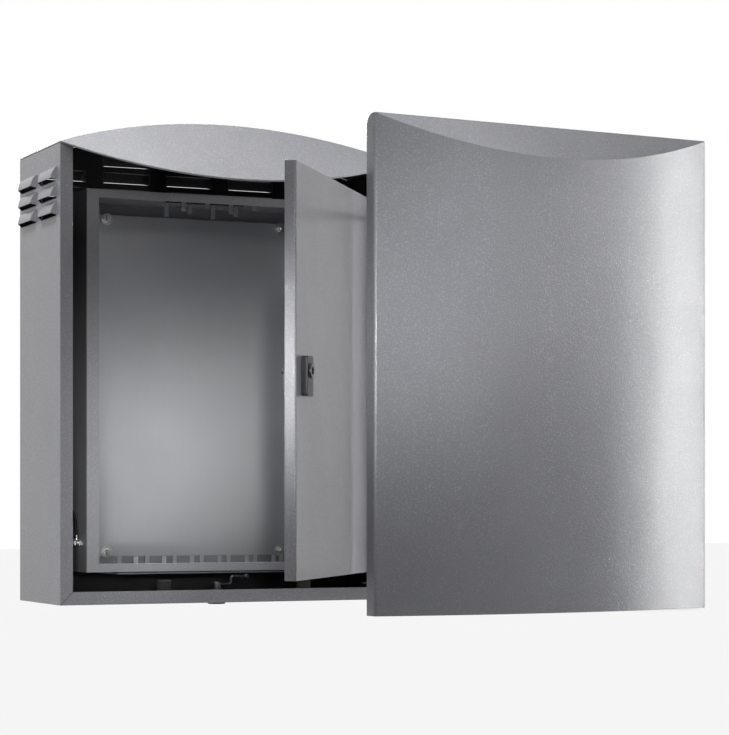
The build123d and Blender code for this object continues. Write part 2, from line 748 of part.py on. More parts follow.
def cover_volume(inset):
    """Bowed cover block cut by its top facet, with every wall brought in by inset."""
    half = COVER_W / 2 - inset
    rear = at(-COVER_GAP) if inset == 0 else at(2.0)
    z0 = COVER_BASE_Z + inset
    z1 = COVER_TOP_Z - inset
    front = at(-COVER_FLANGE - COVER_BULGE)
    bow = rod_z(0, front + COVER_R, z0, z1, COVER_R - inset)
    slab = block(-half, half, front - 1, rear, z0, z1)
    body = slab & bow
    if inset == 0:
        corners = body.edges().filter_by(Axis.Z).group_by(Axis.Y)[0]
        body = fillet(corners, COVER_CORNER)
    shift = inset * sqrt(1 + COVER_SLOPE**2)
    y_top = at(-COVER_FLANGE)
    reach = 2 * COVER_BULGE
    z_at = COVER_TOP_Z - shift
    rise = 2 * shift + 5
    facet = outline_x(
        [
            (y_top + rise / COVER_SLOPE, z_at + rise),
            (y_top - reach, z_at - COVER_SLOPE * reach),
            (y_top - reach, z_at + rise),
        ],
        -COVER_W,
        COVER_W,
    )
    return body - facet


COVER_CAVITY = cover_volume(COVER_SHEET)
COVER_SEAT = cover_volume(COVER_SHEET + SEAT)


def cover_shell():
    shell = cover_volume(0) - COVER_CAVITY
    r = COVER_REAR_ROUND
    y = at(-r)
    z = COVER_TOP_Z - r
    corner = block(-COVER_W, COVER_W, y, at(1), z, COVER_TOP_Z + 1)
    return shell - (corner - rod_x(-COVER_W, COVER_W, y, z, r))


def cover_stiffeners():
    """Two upright hat sections behind the bowed front, cut to its curve."""
    bars = []
    for x in (-COVER_W / 4, COVER_W / 4):
        z0 = COVER_BASE_Z + 60
        z1 = COVER_TOP_Z - 110
        front = at(-COVER_FLANGE - COVER_BULGE)
        rear = at(-COVER_FLANGE - 4)
        walls = [block(x + s * 14 - 1, x + s * 14 + 1, front, rear, z0, z1) for s in (-1, 1)]
        web = block(x - 15, x + 15, rear - 2, rear, z0, z1)
        bars.append((web + walls) & COVER_SEAT)
    return group(bars)


# Cover linkage
def plate_between(points, z0, z1):
    """Flat plate: the hull of round ends (x, y, r) joined in a row, each pair by its tangents."""
    body = None
    for (xa, ya, ra), (xb, yb, rb) in zip(points, points[1:]):
        length = hypot(xb - xa, yb - ya)
        ux, uy = (xb - xa) / length, (yb - ya) / length
        nx, ny = -uy, ux
        quad = [
            (xa + nx * ra, ya + ny * ra),
            (xb + nx * rb, yb + ny * rb),
            (xb - nx * rb, yb - ny * rb),
            (xa - nx * ra, ya - ny * ra),
        ]
        piece = outline_z(quad, z0, z1) + rod_z(xa, ya, z0, z1, ra) + rod_z(xb, yb, z0, z1, rb)
        body = piece if body is None else body + piece
    return body


ARM_Y = at(ARM_SETBACK)
LINK_X = ARM_X + LINK_DX
LINK_Y = ARM_Y + LINK_DY
ARM_TURN = Pos(ARM_X, ARM_Y, 0) * Rot(0, 0, ARM_OPEN) * Pos(-ARM_X, -ARM_Y, 0)
PIVOT_X = ARM_X - ARM_L
LINK_PIVOT = (PIVOT_X + LINK_DX, ARM_Y + LINK_COVER_DY)
COVER_MOVE = Pos(PIVOT_X + MOVE_X, ARM_Y + MOVE_Y, 0) * Rot(0, 0, COVER_TURN) * Pos(-PIVOT_X, -ARM_Y, 0)
LINK_END = (COVER_MOVE * Pos(LINK_PIVOT[0], LINK_PIVOT[1], 0)).position


def swing_arm(z0, pivot):
    """Flat bar with round bosses, closed position, pointing left from the shaft."""
    x, y = ARM_X, ARM_Y
    bar = block(x - ARM_L, x, y - ARM_W / 2, y + ARM_W / 2, z0, z0 + ARM_T)
    bar = bar + rod_z(x, y, z0, z0 + ARM_T, ARM_BOSS_R) + rod_z(x - ARM_L, y, z0, z0 + ARM_T, ARM_BOSS_R)
    bar = bar - rod_z(x, y, z0 - 1, z0 + ARM_T + 1, SHAFT_R)
    return bar - rod_z(x - ARM_L, y, z0 - 1, z0 + ARM_T + 1, pivot + RUN)


def link_arm():
    """Link as long as its two pivots lie apart in the open position, with slack at the cover's end."""
    z0, z1 = ARM_Z, ARM_Z + ARM_T
    near, far = (LINK_X, LINK_Y), (LINK_END.X, LINK_END.Y)
    bar = plate_between([(*near, LINK_W / 2), (*far, LINK_W / 2)], z0, z1)
    bar = bar + rod_z(*near, z0, z1, LINK_BOSS_R) + rod_z(*far, z0, z1, LINK_BOSS_R)
    return bar - rod_z(*near, z0 - 1, z1 + 1, PIVOT_R + RUN) - rod_z(*far, z0 - 1, z1 + 1, PIVOT_R + LINK_SLACK)


def swing_shaft():
    low = BASE_Z + BRACKET_Z - LAYER_GAP - COLLAR_T
    high = UPPER_BRACKET_Z + BRACKET_T + 5
    shaft = rod_z(ARM_X, ARM_Y, low, high, SHAFT_R)
    return shaft + rod_z(ARM_X, ARM_Y, low, low + COLLAR_T, COLLAR_R)


def arm_bracket(z0, with_link):
    """Shelf from the housing's side wall, out through the mouth and in front of the stile."""
    wall = HALF_W - SHEET
    mouth = HALF_W - FRONT_RETURN - 1
    z1 = z0 + BRACKET_T
    shelf = block(ARM_X - ARM_BOSS_R, wall, at(SHEET + 4), at(46), z0, z1)
    neck = block(ARM_X - ARM_BOSS_R, mouth, at(ARM_SETBACK), at(SHEET + 4), z0, z1)
    body = shelf + neck + rod_z(ARM_X, ARM_Y, z0, z1, ARM_BOSS_R)
    if with_link:
        body = body + plate_between(
            [(ARM_X, ARM_Y, ARM_BOSS_R), (LINK_X, LINK_Y, LINK_BOSS_R)], z0, z1
        )
        body = body - rod_z(LINK_X, LINK_Y, z0 - 1, z1 + 1, PIVOT_R)
        body = body - block(mouth, HALF_W, at(-SEAT), at(SHEET + SEAT), z0 - 1, z1 + 1)
        body = body + block(wall - BRACKET_T, wall, at(SHEET + 4), at(46), z1, z1 + 34)
    else:
        body = body + block(wall - BRACKET_T, wall, at(SHEET + 4), at(46), z0 - 34, z0)
    return body - rod_z(ARM_X, ARM_Y, z0 - 1, z1 + 1, SHAFT_R + RUN)


def bracket_rivets():
    """Two rivets through the housing's side wall into each bracket's upright."""
    rivets = []
    wall = HALF_W - SHEET
    for z in (BASE_Z + BRACKET_Z + BRACKET_T + 20, UPPER_BRACKET_Z - 20):
        for setback in (16.0, 36.0):
            rivets.append(rod_x(wall - BRACKET_T - 2, wall - BRACKET_T, at(setback), z, 4))
    return group(rivets)


def link_pin():
    low = BASE_Z + BRACKET_Z
    top = ARM_Z + ARM_T + LAYER_GAP
    return rod_z(LINK_X, LINK_Y, low, top, PIVOT_R) + rod_z(LINK_X, LINK_Y, top, top + HEAD_T, HEAD_R)


def arm_buffers():
    """Rubber blocks on the back of the bottom return, which the arms close against."""
    pads = []
    for x in (-BUFFER_X, BUFFER_X):
        pad = block(
            x - BUFFER_W / 2,
            x + BUFFER_W / 2,
            at(SHEET),
            at(SHEET + BUFFER_D),
            BASE_Z + BUFFER_FOOT_Z,
            BASE_Z + BUFFER_TOP_Z,
        )
        pads.append(fillet(pad.edges().filter_by(Axis.X).group_by(Axis.Z)[-1], 3.0))
    return group(pads)


def cover_bracket_lower():
    """Pivot plate under both arms, on a leg from the cover's bottom flange."""
    z0 = BASE_Z + BRACKET_Z
    z1 = z0 + BRACKET_T
    floor = COVER_BASE_Z + COVER_SHEET
    link_x, link_y = LINK_PIVOT
    x0, x1 = PIVOT_X - 10, link_x + 10
    leg_y = link_y - LINK_BOSS_R + 1
    plate = plate_between([(PIVOT_X, ARM_Y, ARM_BOSS_R), (link_x, link_y, LINK_BOSS_R)], z0, z1)
    plate = plate + block(x0, x1, leg_y, link_y, z0, z1)
    leg = block(x0, x1, leg_y, leg_y + BRACKET_T, floor, z1)
    foot = block(x0, x1, leg_y - 4 * BRACKET_T, leg_y + BRACKET_T, floor, floor + BRACKET_T)
    body = (plate + leg + foot) - rod_z(PIVOT_X, ARM_Y, z0 - 1, z1 + 1, PIVOT_R)
    return body - rod_z(link_x, link_y, z0 - 1, z1 + 1, PIVOT_R)


def cover_bracket_upper():
    """Pivot plate under the upper arm, on a flange cut to the cover's curve."""
    z1 = UPPER_ARM_Z - LAYER_GAP
    z0 = z1 - BRACKET_T
    front = at(-COVER_FLANGE - COVER_BULGE)
    half = 15.0
    rear = at(-COVER_FLANGE - 6)
    plate = block(PIVOT_X - half, PIVOT_X + half, front, ARM_Y, z0, z1)
    plate = plate + rod_z(PIVOT_X, ARM_Y, z0, z1, ARM_BOSS_R)
    edges = [(PIVOT_X - half, PIVOT_X - half + BRACKET_T), (PIVOT_X + half - BRACKET_T, PIVOT_X + half)]
    gussets = [block(left, right, front, rear, z0 - 2 * half, z0) for left, right in edges]
    body = (plate + gussets) & COVER_SEAT
    return body - rod_z(PIVOT_X, ARM_Y, z0 - 1, z1 + 1, PIVOT_R)


def cover_pins():
    pins = []
    low = BASE_Z + BRACKET_Z
    top = ARM_Z + ARM_T + LAYER_GAP
    for x, y in ((PIVOT_X, ARM_Y), LINK_PIVOT):
        pins.append(rod_z(x, y, low, top, PIVOT_R) + rod_z(x, y, top, top + HEAD_T, HEAD_R))
    z1 = UPPER_ARM_Z - LAYER_GAP
    top = UPPER_ARM_Z + ARM_T + LAYER_GAP
    upper = rod_z(PIVOT_X, ARM_Y, z1 - BRACKET_T, top, PIVOT_R)
    pins.append(upper + rod_z(PIVOT_X, ARM_Y, top, top + HEAD_T, HEAD_R))
    return group(pins)


def cover_keeper():
    """Shelf behind the cover's front with a side-slotted plate that the cam's tip passes through."""
    x0, x1 = CAM_X - KEEPER_LEFT, CAM_X + KEEPER_RIGHT
    rear = at(KEEPER_SETBACK)
    front = at(-COVER_FLANGE - COVER_BULGE)
    top = BASE_Z + KEEPER_TOP_Z
    low = BASE_Z + KEEPER_LOW_Z
    shelf = block(x0, x1, front, rear + KEEPER_T, top - 2, top)
    root = block(x0, x1, front, at(-COVER_FLANGE - COVER_BULGE + 7), low, top)
    plate = block(x0, x1, rear, rear + KEEPER_T, low, top)
    middle = BASE_Z + CAM_HIGH_Z
    slot = block(
        CAM_X - CAM_WIRE_R - 1.5, x1 + 1, rear - 1, rear + KEEPER_T + 1,
        middle - KEEPER_SLOT / 2, middle + KEEPER_SLOT / 2,
    )
    return ((shelf + root) & COVER_SEAT) + (plate - slot)


# Cover lock
def cover_lock_body():
    y = at(CAM_SETBACK)
    sleeve = rod_z(CAM_X, y, BASE_Z, BASE_Z + CAM_SLEEVE_TOP, CAM_SLEEVE_R)
    disc = rod_z(CAM_X, y, BASE_Z - CAM_FLANGE_T, BASE_Z, CAM_FLANGE_R)
    disc = fillet(disc.edges().group_by(Axis.Z)[0], 1.5)
    bore = rod_z(CAM_X, y, BASE_Z - CAM_FLANGE_T + 1, BASE_Z + CAM_SLEEVE_TOP + 1, CAM_CORE_R + RUN)
    return disc + sleeve - bore


def cover_lock_nut():
    y = at(CAM_SETBACK)
    z0 = BASE_Z + SHEET
    nut = hex_z(CAM_X, y, z0, z0 + 6, CAM_SLEEVE_R * 1.45)
    return nut - rod_z(CAM_X, y, z0 - 1, z0 + 7, CAM_SLEEVE_R)


def cover_lock_cam():
    """Turning core, hub and cranked wire with a ball tip, pointing right when unlocked."""
    y = at(CAM_SETBACK)
    low = BASE_Z + CAM_LOW_Z
    high = BASE_Z + CAM_HIGH_Z
    core = rod_z(CAM_X, y, BASE_Z - CAM_FLANGE_T + 1 + SEAT, BASE_Z + CAM_SLEEVE_TOP + SEAT, CAM_CORE_R)
    hub = rod_z(CAM_X, y, BASE_Z + CAM_SLEEVE_TOP + SEAT, low + 4, CAM_HUB_R)
    hub = fillet(hub.edges().group_by(Axis.Z)[-1], 2.5)
    knee = CAM_X + CAM_KNEE
    path = FilletPolyline(
        (CAM_X, y, low), (knee, y, low), (knee, y, high), (CAM_X + CAM_REACH, y, high), radius=4.0
    )
    start = Plane(origin=(CAM_X, y, low), x_dir=(0, 1, 0), z_dir=(1, 0, 0))
    wire = sweep(start * Circle(CAM_WIRE_R), path=path)
    tip = Pos(CAM_X + CAM_REACH, y, high) * Sphere(CAM_TIP_R)
    return core + hub + wire + tip


# Earth studs and lead
BOX_STUD = (-BOX_W / 2, 70.0, BASE_Z + 93.0)
WALL_STUD = (-HALF_W + SHEET, 50.0, BASE_Z + 204.0)


def earth_stud(x, setback, z, way):
    """Stud along X with a nut at its root and a washer over the ring terminal."""
    y = at(setback)
    ends = sorted((x, x + way * 13))
    nut_ends = sorted((x, x + way * 4))
    cap_ends = sorted((x + way * 8.2, x + way * 11.5))
    nut = Pos(nut_ends[0], y, z) * Rot(0, 90, 0) * extrude(RegularPolygon(6.5, 6), 4, dir=(0, 0, 1))
    cap = Pos(cap_ends[0], y, z) * Rot(0, 90, 0) * extrude(RegularPolygon(6.5, 6), 3.3, dir=(0, 0, 1))
    return rod_x(ends[0], ends[1], y, z, 3) + nut + cap


def earth_studs():
    return group([earth_stud(*BOX_STUD, -1), earth_stud(*WALL_STUD, 1)])


def earth_lead():
    """Lead with a ring terminal at each end, held by the two studs."""
    bx, bs, bz = BOX_STUD
    wx, ws, wz = WALL_STUD
    xa = bx - 6.1
    xb = wx + 6.1
    points = [
        (xa, at(bs), bz + 9),
        (xa, at(bs), bz + 30),
        (xa - 10, at(bs - 8), bz + 56),
        (xb + 3, at(ws + 2), wz - 32),
        (xb, at(ws), wz - 9),
    ]
    path = FilletPolyline(*points, radius=LEAD_BEND)
    start = Plane(origin=points[0], z_dir=(0, 0, 1))
    lead = sweep(start * Circle(LEAD_R), path=path)
    for x, s, z, turn in ((xa, bs, bz, 1), (xb, ws, wz, -1)):
        ring = rod_x(x - 0.8, x + 0.8, at(s), z, 6.5)
        z0, z1 = sorted((z, z + turn * 10))
        tail = block(x - 0.8, x + 0.8, at(s) - 2.5, at(s) + 2.5, z0, z1)
        lead = lead + (ring + tail - rod_x(x - 2, x + 2, at(s), z, 3.05))
    return lead


NODES = {
    "housing_shell": housing_shell(),
    "roof_panel": roof_panel(),
    "cable_entry_plate": entry_plate(),
    "entry_plate_screws": entry_plate_screws(),
    "rear_rail_upper": rear_rail(RAIL_Z),
    "rear_rail_lower": rear_rail(-RAIL_Z),
    "rail_bolts": rail_bolts(),
    "pole_band_upper": pole_band(RAIL_Z),
    "pole_band_lower": pole_band(-RAIL_Z),
    "band_screws": band_screws(),
    "inner_enclosure_body": inner_enclosure_body(),
    "enclosure_spacers": enclosure_spacers(),
    "enclosure_bolts": enclosure_bolts(),
    "mounting_plate": mounting_plate(),
    "plate_studs": plate_studs(),
    "plate_nuts": plate_nuts(),
    "gland_plate_floor": gland_plate(FLOOR_GLAND_W, BOX_BASE_Z - GASKET_T - GLAND_T),
    "gland_gasket_floor": gland_gasket(FLOOR_GLAND_W, BOX_BASE_Z - GASKET_T),
    "gland_clips_floor": gland_clips(FLOOR_CLIPS, FLOOR_CLIP_PITCH, BOX_BASE_Z + BOX_SHEET, 1),
    "gland_plate_ceiling": gland_plate(CEILING_GLAND_W, BOX_TOP_Z + GASKET_T),
    "gland_gasket_ceiling": gland_gasket(CEILING_GLAND_W, BOX_TOP_Z),
    "gland_clips_ceiling": gland_clips(CEILING_CLIPS, CEILING_CLIP_PITCH, BOX_TOP_Z - BOX_SHEET, -1),
    "hinge_box_leaves": hinge_box_leaves(),
    "hinge_pins": hinge_pins(),
    "earth_studs": earth_studs(),
    "earth_lead": earth_lead(),
    "cover_lock_body": cover_lock_body(),
    "cover_lock_nut": cover_lock_nut(),
    "arm_bracket_lower": arm_bracket(BASE_Z + BRACKET_Z, True),
    "arm_bracket_upper": arm_bracket(UPPER_BRACKET_Z, False),
    "bracket_rivets": bracket_rivets(),
    "link_pin": link_pin(),
    "arm_buffers": arm_buffers(),
    "inner_door_shell": DOOR_TURN * inner_door_shell(),
    "inner_door_gasket": DOOR_TURN * inner_door_gasket(),
    "hinge_door_leaves": DOOR_TURN * hinge_door_leaves(),
    "inner_lock_case": DOOR_TURN * inner_lock_case(),
    "inner_lock_nut": DOOR_TURN * inner_lock_nut(),
    "inner_lock_barrel": DOOR_TURN * inner_lock_barrel(),
    "inner_lock_cam": DOOR_TURN * inner_lock_cam(),
    "swing_shaft": swing_shaft(),
    "swing_arm_lower": ARM_TURN * swing_arm(ARM_Z, PIVOT_R),
    "swing_arm_upper": ARM_TURN * swing_arm(UPPER_ARM_Z, PIVOT_R),
    "link_arm": link_arm(),
    "cover_shell": COVER_MOVE * cover_shell(),
    "cover_stiffeners": COVER_MOVE * cover_stiffeners(),
    "cover_bracket_lower": COVER_MOVE * cover_bracket_lower(),
    "cover_bracket_upper": COVER_MOVE * cover_bracket_upper(),
    "cover_pins": COVER_MOVE * cover_pins(),
    "cover_keeper": COVER_MOVE * cover_keeper(),
    "cover_lock_cam": cover_lock_cam(),
}

for name, shape in NODES.items():
    write(shape, name)

print("pivots", (ARM_X, ARM_Y), (LINK_X, LINK_Y), (PIVOT_X + MOVE_X, ARM_Y + MOVE_Y), LINK_END)
print("door pin", (PIN_X, at(PIN_SETBACK)), "lock", (LOCK_X, LOCK_Z))
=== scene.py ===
import json
from math import cos, pi, radians, sin

import bmesh
import bpy
import numpy as np
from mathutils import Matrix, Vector

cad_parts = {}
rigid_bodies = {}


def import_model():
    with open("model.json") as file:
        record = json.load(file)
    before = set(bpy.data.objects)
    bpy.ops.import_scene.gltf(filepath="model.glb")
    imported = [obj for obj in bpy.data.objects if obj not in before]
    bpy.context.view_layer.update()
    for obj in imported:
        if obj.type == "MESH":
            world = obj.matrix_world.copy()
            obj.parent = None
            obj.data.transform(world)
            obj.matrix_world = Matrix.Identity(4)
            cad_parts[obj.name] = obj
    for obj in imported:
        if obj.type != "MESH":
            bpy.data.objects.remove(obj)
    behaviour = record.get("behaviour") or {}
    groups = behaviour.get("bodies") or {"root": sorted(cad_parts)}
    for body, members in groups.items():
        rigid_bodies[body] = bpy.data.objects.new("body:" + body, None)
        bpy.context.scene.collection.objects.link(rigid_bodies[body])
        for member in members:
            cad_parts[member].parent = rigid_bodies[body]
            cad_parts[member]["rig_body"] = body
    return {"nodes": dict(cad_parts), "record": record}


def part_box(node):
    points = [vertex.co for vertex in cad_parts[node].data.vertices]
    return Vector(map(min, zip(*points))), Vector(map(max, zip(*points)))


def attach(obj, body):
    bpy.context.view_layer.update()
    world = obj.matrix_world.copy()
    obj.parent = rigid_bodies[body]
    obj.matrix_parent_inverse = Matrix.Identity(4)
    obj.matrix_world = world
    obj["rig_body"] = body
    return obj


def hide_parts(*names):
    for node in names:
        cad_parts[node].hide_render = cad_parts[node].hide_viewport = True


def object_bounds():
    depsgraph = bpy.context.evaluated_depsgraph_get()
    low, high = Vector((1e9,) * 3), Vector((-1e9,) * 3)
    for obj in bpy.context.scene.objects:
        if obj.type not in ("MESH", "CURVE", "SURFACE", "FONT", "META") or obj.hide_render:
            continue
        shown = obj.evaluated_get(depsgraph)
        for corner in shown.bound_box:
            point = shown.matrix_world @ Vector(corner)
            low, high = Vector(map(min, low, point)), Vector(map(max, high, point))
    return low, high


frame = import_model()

bl_info = {
    "name": "Outdoor enclosure finisher",
    "version": (1, 0, 0),
    "blender": (4, 5, 0),
    "location": "3D View > Sidebar > Enclosure",
    "description": "Builds the finished surfaces, seals, fasteners and lead of a louvred outdoor enclosure.",
    "category": "Object",
}

NODES = frame["nodes"]
RECORD = frame["record"]
SLOT_OF = {row["node"]: row["material_slot"] for row in RECORD["subparts"]}
CAD_BOX = [list(corner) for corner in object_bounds()]
MM = 0.001
MADE = {}
FRONT = (0, -1, 0)
REAR = (0, 1, 0)
UP = (0, 0, 1)
DOWN = (0, 0, -1)

# Powder coat
FINE_SCALE = 2.6
FINE_HEIGHT = 0.4
DRIFT_RANGE = 0.24
DRIFT_LOW = 0.84
CREST_LOW = 0.5
CREST_HIGH = 0.72
SPECKLE_LIGHT = 0.3
SPECKLE_SMOOTH = -0.12
INNER_DULL = 0.55

# Rolled metal
STREAK_SCALE = 1400.0
CLOUD_SCALE = 16.0
CLOUD_ROUGH = 0.24
LEAST_ROUGH = 0.24

# Folded sheet
SEAM_WIDE = 0.6 * MM
SEAM_DARK = 0.75
RETURN_WIDE = 20 * MM
LIP_LIFT = 3.5 * MM
BACK_LIP_LIFT = 1.8 * MM
PROUD = 0.6 * MM
SKIN_SLACK = 0.2 * MM
FRONT_SLACK = 0.5 * MM
HOUSING_MIDDLE = np.array([0.0, -0.13, 0.0])
JOIN_WITHIN = 2e-6
FLAT_WITHIN = radians(0.3)
FOLD_ANGLE = radians(28)
MOULD_ANGLE = radians(32)
BEVEL_STEPS = 2

# Fasteners
STUD_RADIUS = 4 * MM
COLLAR_TALL = 6.5 * MM
WASHER_THICK = 1.6 * MM
PLATE_NUT_BORE = 4.1 * MM
PLATE_NUT_FLAT = 6.1 * MM
BOLT_HEAD = 5.3 * MM
RAIL_HEAD = 3.0 * MM
NUT_FROM_END = 6 * MM
NUT_TALL = 4.6 * MM
SCREW_HEAD = 2.5 * MM
SCREW_PITCH = 0.8 * MM

# Door seal
SEAL_WIDE = 9 * MM
SEAL_CORNER = 12 * MM

# Earth lead
LEAD_ROUTE = [
    (-0.2371, -0.165, -0.248),
    (-0.2371, -0.165, -0.227),
    (-0.2471, -0.173, -0.201),
    (-0.2739, -0.183, -0.178),
    (-0.2769, -0.185, -0.155),
]
LEAD_WIDE = 4 * MM
EYE_THICK = 1.4 * MM
EYE_RADIUS = 6.5 * MM
EYE_BORE = 3.1 * MM
EYE_FROM_LEAD = 9 * MM
CRIMP_OVERLAP = 3 * MM

# Stage
SENSOR_WIDE = 36.0
PICTURE_SLIDE = 0.0011
FLOOR_SIDE = 30.0
FLOOR_OWN_WHITE = 0.9
EVEN_LIGHT = (0.93, 0.95, 1, 1)


def colour(name, text, default):
    """Colour property of a finish."""
    return bpy.props.FloatVectorProperty(
        name=name, description=text, default=default, size=3, min=0, max=1, subtype="COLOR"
    )


def length(name, text, default):
    """Length property in metres."""
    return bpy.props.FloatProperty(
        name=name, description=text, default=default, min=0, precision=5,
        unit="LENGTH", subtype="DISTANCE",
    )


def share(name, text, default):
    """Plain number property from nothing to one."""
    return bpy.props.FloatProperty(
        name=name, description=text, default=default, min=0, max=1, subtype="FACTOR"
    )


class FinishSettings(bpy.types.PropertyGroup):
    """Colours and textures of the finishes."""

    skin: colour("Outer paint", "Powder coat of the housing, roof and cover", (0.23, 0.231, 0.252))
    # Painted shade: a near-black colour laid on the housing's inner faces, standing in for the shade inside
    # the housing.
    inside: colour("Painted shade inside housing", "Painted shade on the inner faces of the housing", (0.03, 0.03, 0.033))
    box: colour("Inner box paint", "Satin paint of the inner enclosure", (0.34, 0.34, 0.36))
    zinc: colour("Zinc sheet", "Mounting plate and rails", (0.56, 0.565, 0.585))
    bright: colour("Bright zinc", "Nuts, screws, pins and arms", (0.66, 0.66, 0.64))
    rubber: colour("Rubber", "Seals, gaskets and buffers", (0.018, 0.018, 0.019))
    lock: colour("Lock steel", "Blackened steel of the lock parts", (0.06, 0.06, 0.064))
    plastic: colour("Lock plastic", "Case of the inner lock", (0.012, 0.012, 0.014))
    grain: length("Paint grain", "Distance between the bumps of the powder coat", 0.0022)
    relief: length("Paint relief", "Height of the bumps of the powder coat", 0.00028)
    gloss: share("Paint roughness", "Roughness of the powder coat", 0.22)


class EdgeSettings(bpy.types.PropertyGroup):
    """Rounding of the folded and cut edges."""

    fold: length("Fold rounding", "Rounding of the folded sheet edges", 0.0006)
    cut: length("Cut rounding", "Rounding of small machined parts", 0.0003)
    seal_crown: length("Seal crown", "How far the foamed seal stands proud in its middle", 0.0022)
    thread_pitch: length("Thread pitch", "Pitch of the M8 threads", 0.00125)


class StageSettings(bpy.types.PropertyGroup):
    """Camera and lights."""

    camera_place: bpy.props.FloatVectorProperty(
        name="Camera place",
        description="Where the camera stands",
        default=(-1.3685, -3.6548, -0.1919),
        subtype="XYZ",
        unit="LENGTH",
    )
    camera_turn: bpy.props.FloatProperty(
        name="Camera turn",
        description="How far the level camera looks to the right of straight on",
        default=radians(24.893),
        subtype="ANGLE",
    )
    lens: bpy.props.FloatProperty(
        name="Lens", description="Focal length in millimetres", default=115.8, min=20
    )
    rise: bpy.props.FloatProperty(
        name="Rise", description="Upward shift of the picture, as in the photo",
        default=0.1811, min=0, max=0.3,
    )
    floor_drop: length("Floor drop", "How far the floor lies below the enclosure", 0.55)
    world_light: share("World light", "Strength of the even light from all sides", 0.07)


def finish():
    """The colours and textures that the user has set."""
    return bpy.context.scene.enclosure_finish


def edges():
    """The edge sizes that the user has set."""
    return bpy.context.scene.enclosure_edges


# Shader groups
def new_group(name, inputs, outputs):
    """Empty shader node group with named sockets, inputs as (name, type, default)."""
    group = bpy.data.node_groups.new(name, "ShaderNodeTree")
    for label, kind, default in inputs:
        socket = group.interface.new_socket(label, in_out="INPUT", socket_type=kind)
        socket.default_value = default
    for label, kind in outputs:
        group.interface.new_socket(label, in_out="OUTPUT", socket_type=kind)
    return group, group.nodes.new("NodeGroupInput"), group.nodes.new("NodeGroupOutput")


def node(tree, kind, **values):
    """New node with its properties and input defaults set by name."""
    made = tree.nodes.new(kind)
    for key, value in values.items():
        if hasattr(made, key):
            setattr(made, key, value)
        else:
            made.inputs[key.replace("_", " ")].default_value = value
    return made


def maths(tree, operation, first, second):
    """Math node joining two sockets or numbers."""
    made = node(tree, "ShaderNodeMath", operation=operation)
    for socket, value in zip(made.inputs, (first, second)):
        if isinstance(value, bpy.types.NodeSocket):
            tree.links.new(value, socket)
        else:
            socket.default_value = value
    return made.outputs[0]


def mix_colour(tree, factor, first, second):
    """Mix node for colours, taking sockets or values."""
    made = node(tree, "ShaderNodeMix", data_type="RGBA")
    for socket, value in ((made.inputs[0], factor), (made.inputs[6], first), (made.inputs[7], second)):
        if isinstance(value, bpy.types.NodeSocket):
            tree.links.new(value, socket)
        elif hasattr(value, "__len__"):
            socket.default_value = (*value[:3], 1)
        else:
            socket.default_value = value
    return made.outputs[2]


def powder_group():
    """Orange-peel powder coat: a height of two noises, a little colour drift and a speckle mask."""
    group, start, end = new_group(
        "Powder coat",
        [("Colour", "NodeSocketColor", (0.5, 0.5, 0.5, 1)), ("Scale", "NodeSocketFloat", 600.0)],
        [("Colour", "NodeSocketColor"), ("Height", "NodeSocketFloat"), ("Speckle", "NodeSocketFloat")],
    )
    place = node(group, "ShaderNodeTexCoord")
    peel = node(group, "ShaderNodeTexNoise", Detail=2.0, Roughness=0.55)
    fine = node(group, "ShaderNodeTexNoise", Detail=1.0)
    drift = node(group, "ShaderNodeTexNoise", Scale=7.0, Detail=3.0)
    for texture in (peel, fine, drift):
        group.links.new(place.outputs["Object"], texture.inputs["Vector"])
    group.links.new(start.outputs["Scale"], peel.inputs["Scale"])
    group.links.new(maths(group, "MULTIPLY", start.outputs["Scale"], FINE_SCALE), fine.inputs["Scale"])
    ripple = maths(group, "MULTIPLY", fine.outputs["Fac"], FINE_HEIGHT)
    height = maths(group, "ADD", peel.outputs["Fac"], ripple)
    group.links.new(height, end.inputs["Height"])
    crest = node(group, "ShaderNodeMapRange")
    crest.inputs["From Min"].default_value = CREST_LOW
    crest.inputs["From Max"].default_value = CREST_HIGH
    group.links.new(peel.outputs["Fac"], crest.inputs["Value"])
    group.links.new(crest.outputs["Result"], end.inputs["Speckle"])
    patchy = maths(group, "MULTIPLY", drift.outputs["Fac"], DRIFT_RANGE)
    patchy = maths(group, "ADD", patchy, DRIFT_LOW)
    lighter = maths(group, "MULTIPLY", crest.outputs["Result"], SPECKLE_LIGHT)
    speckled = maths(group, "ADD", patchy, lighter)
    tinted = node(group, "ShaderNodeVectorMath", operation="SCALE")
    group.links.new(start.outputs["Colour"], tinted.inputs[0])
    group.links.new(speckled, tinted.inputs["Scale"])
    group.links.new(tinted.outputs[0], end.inputs["Colour"])


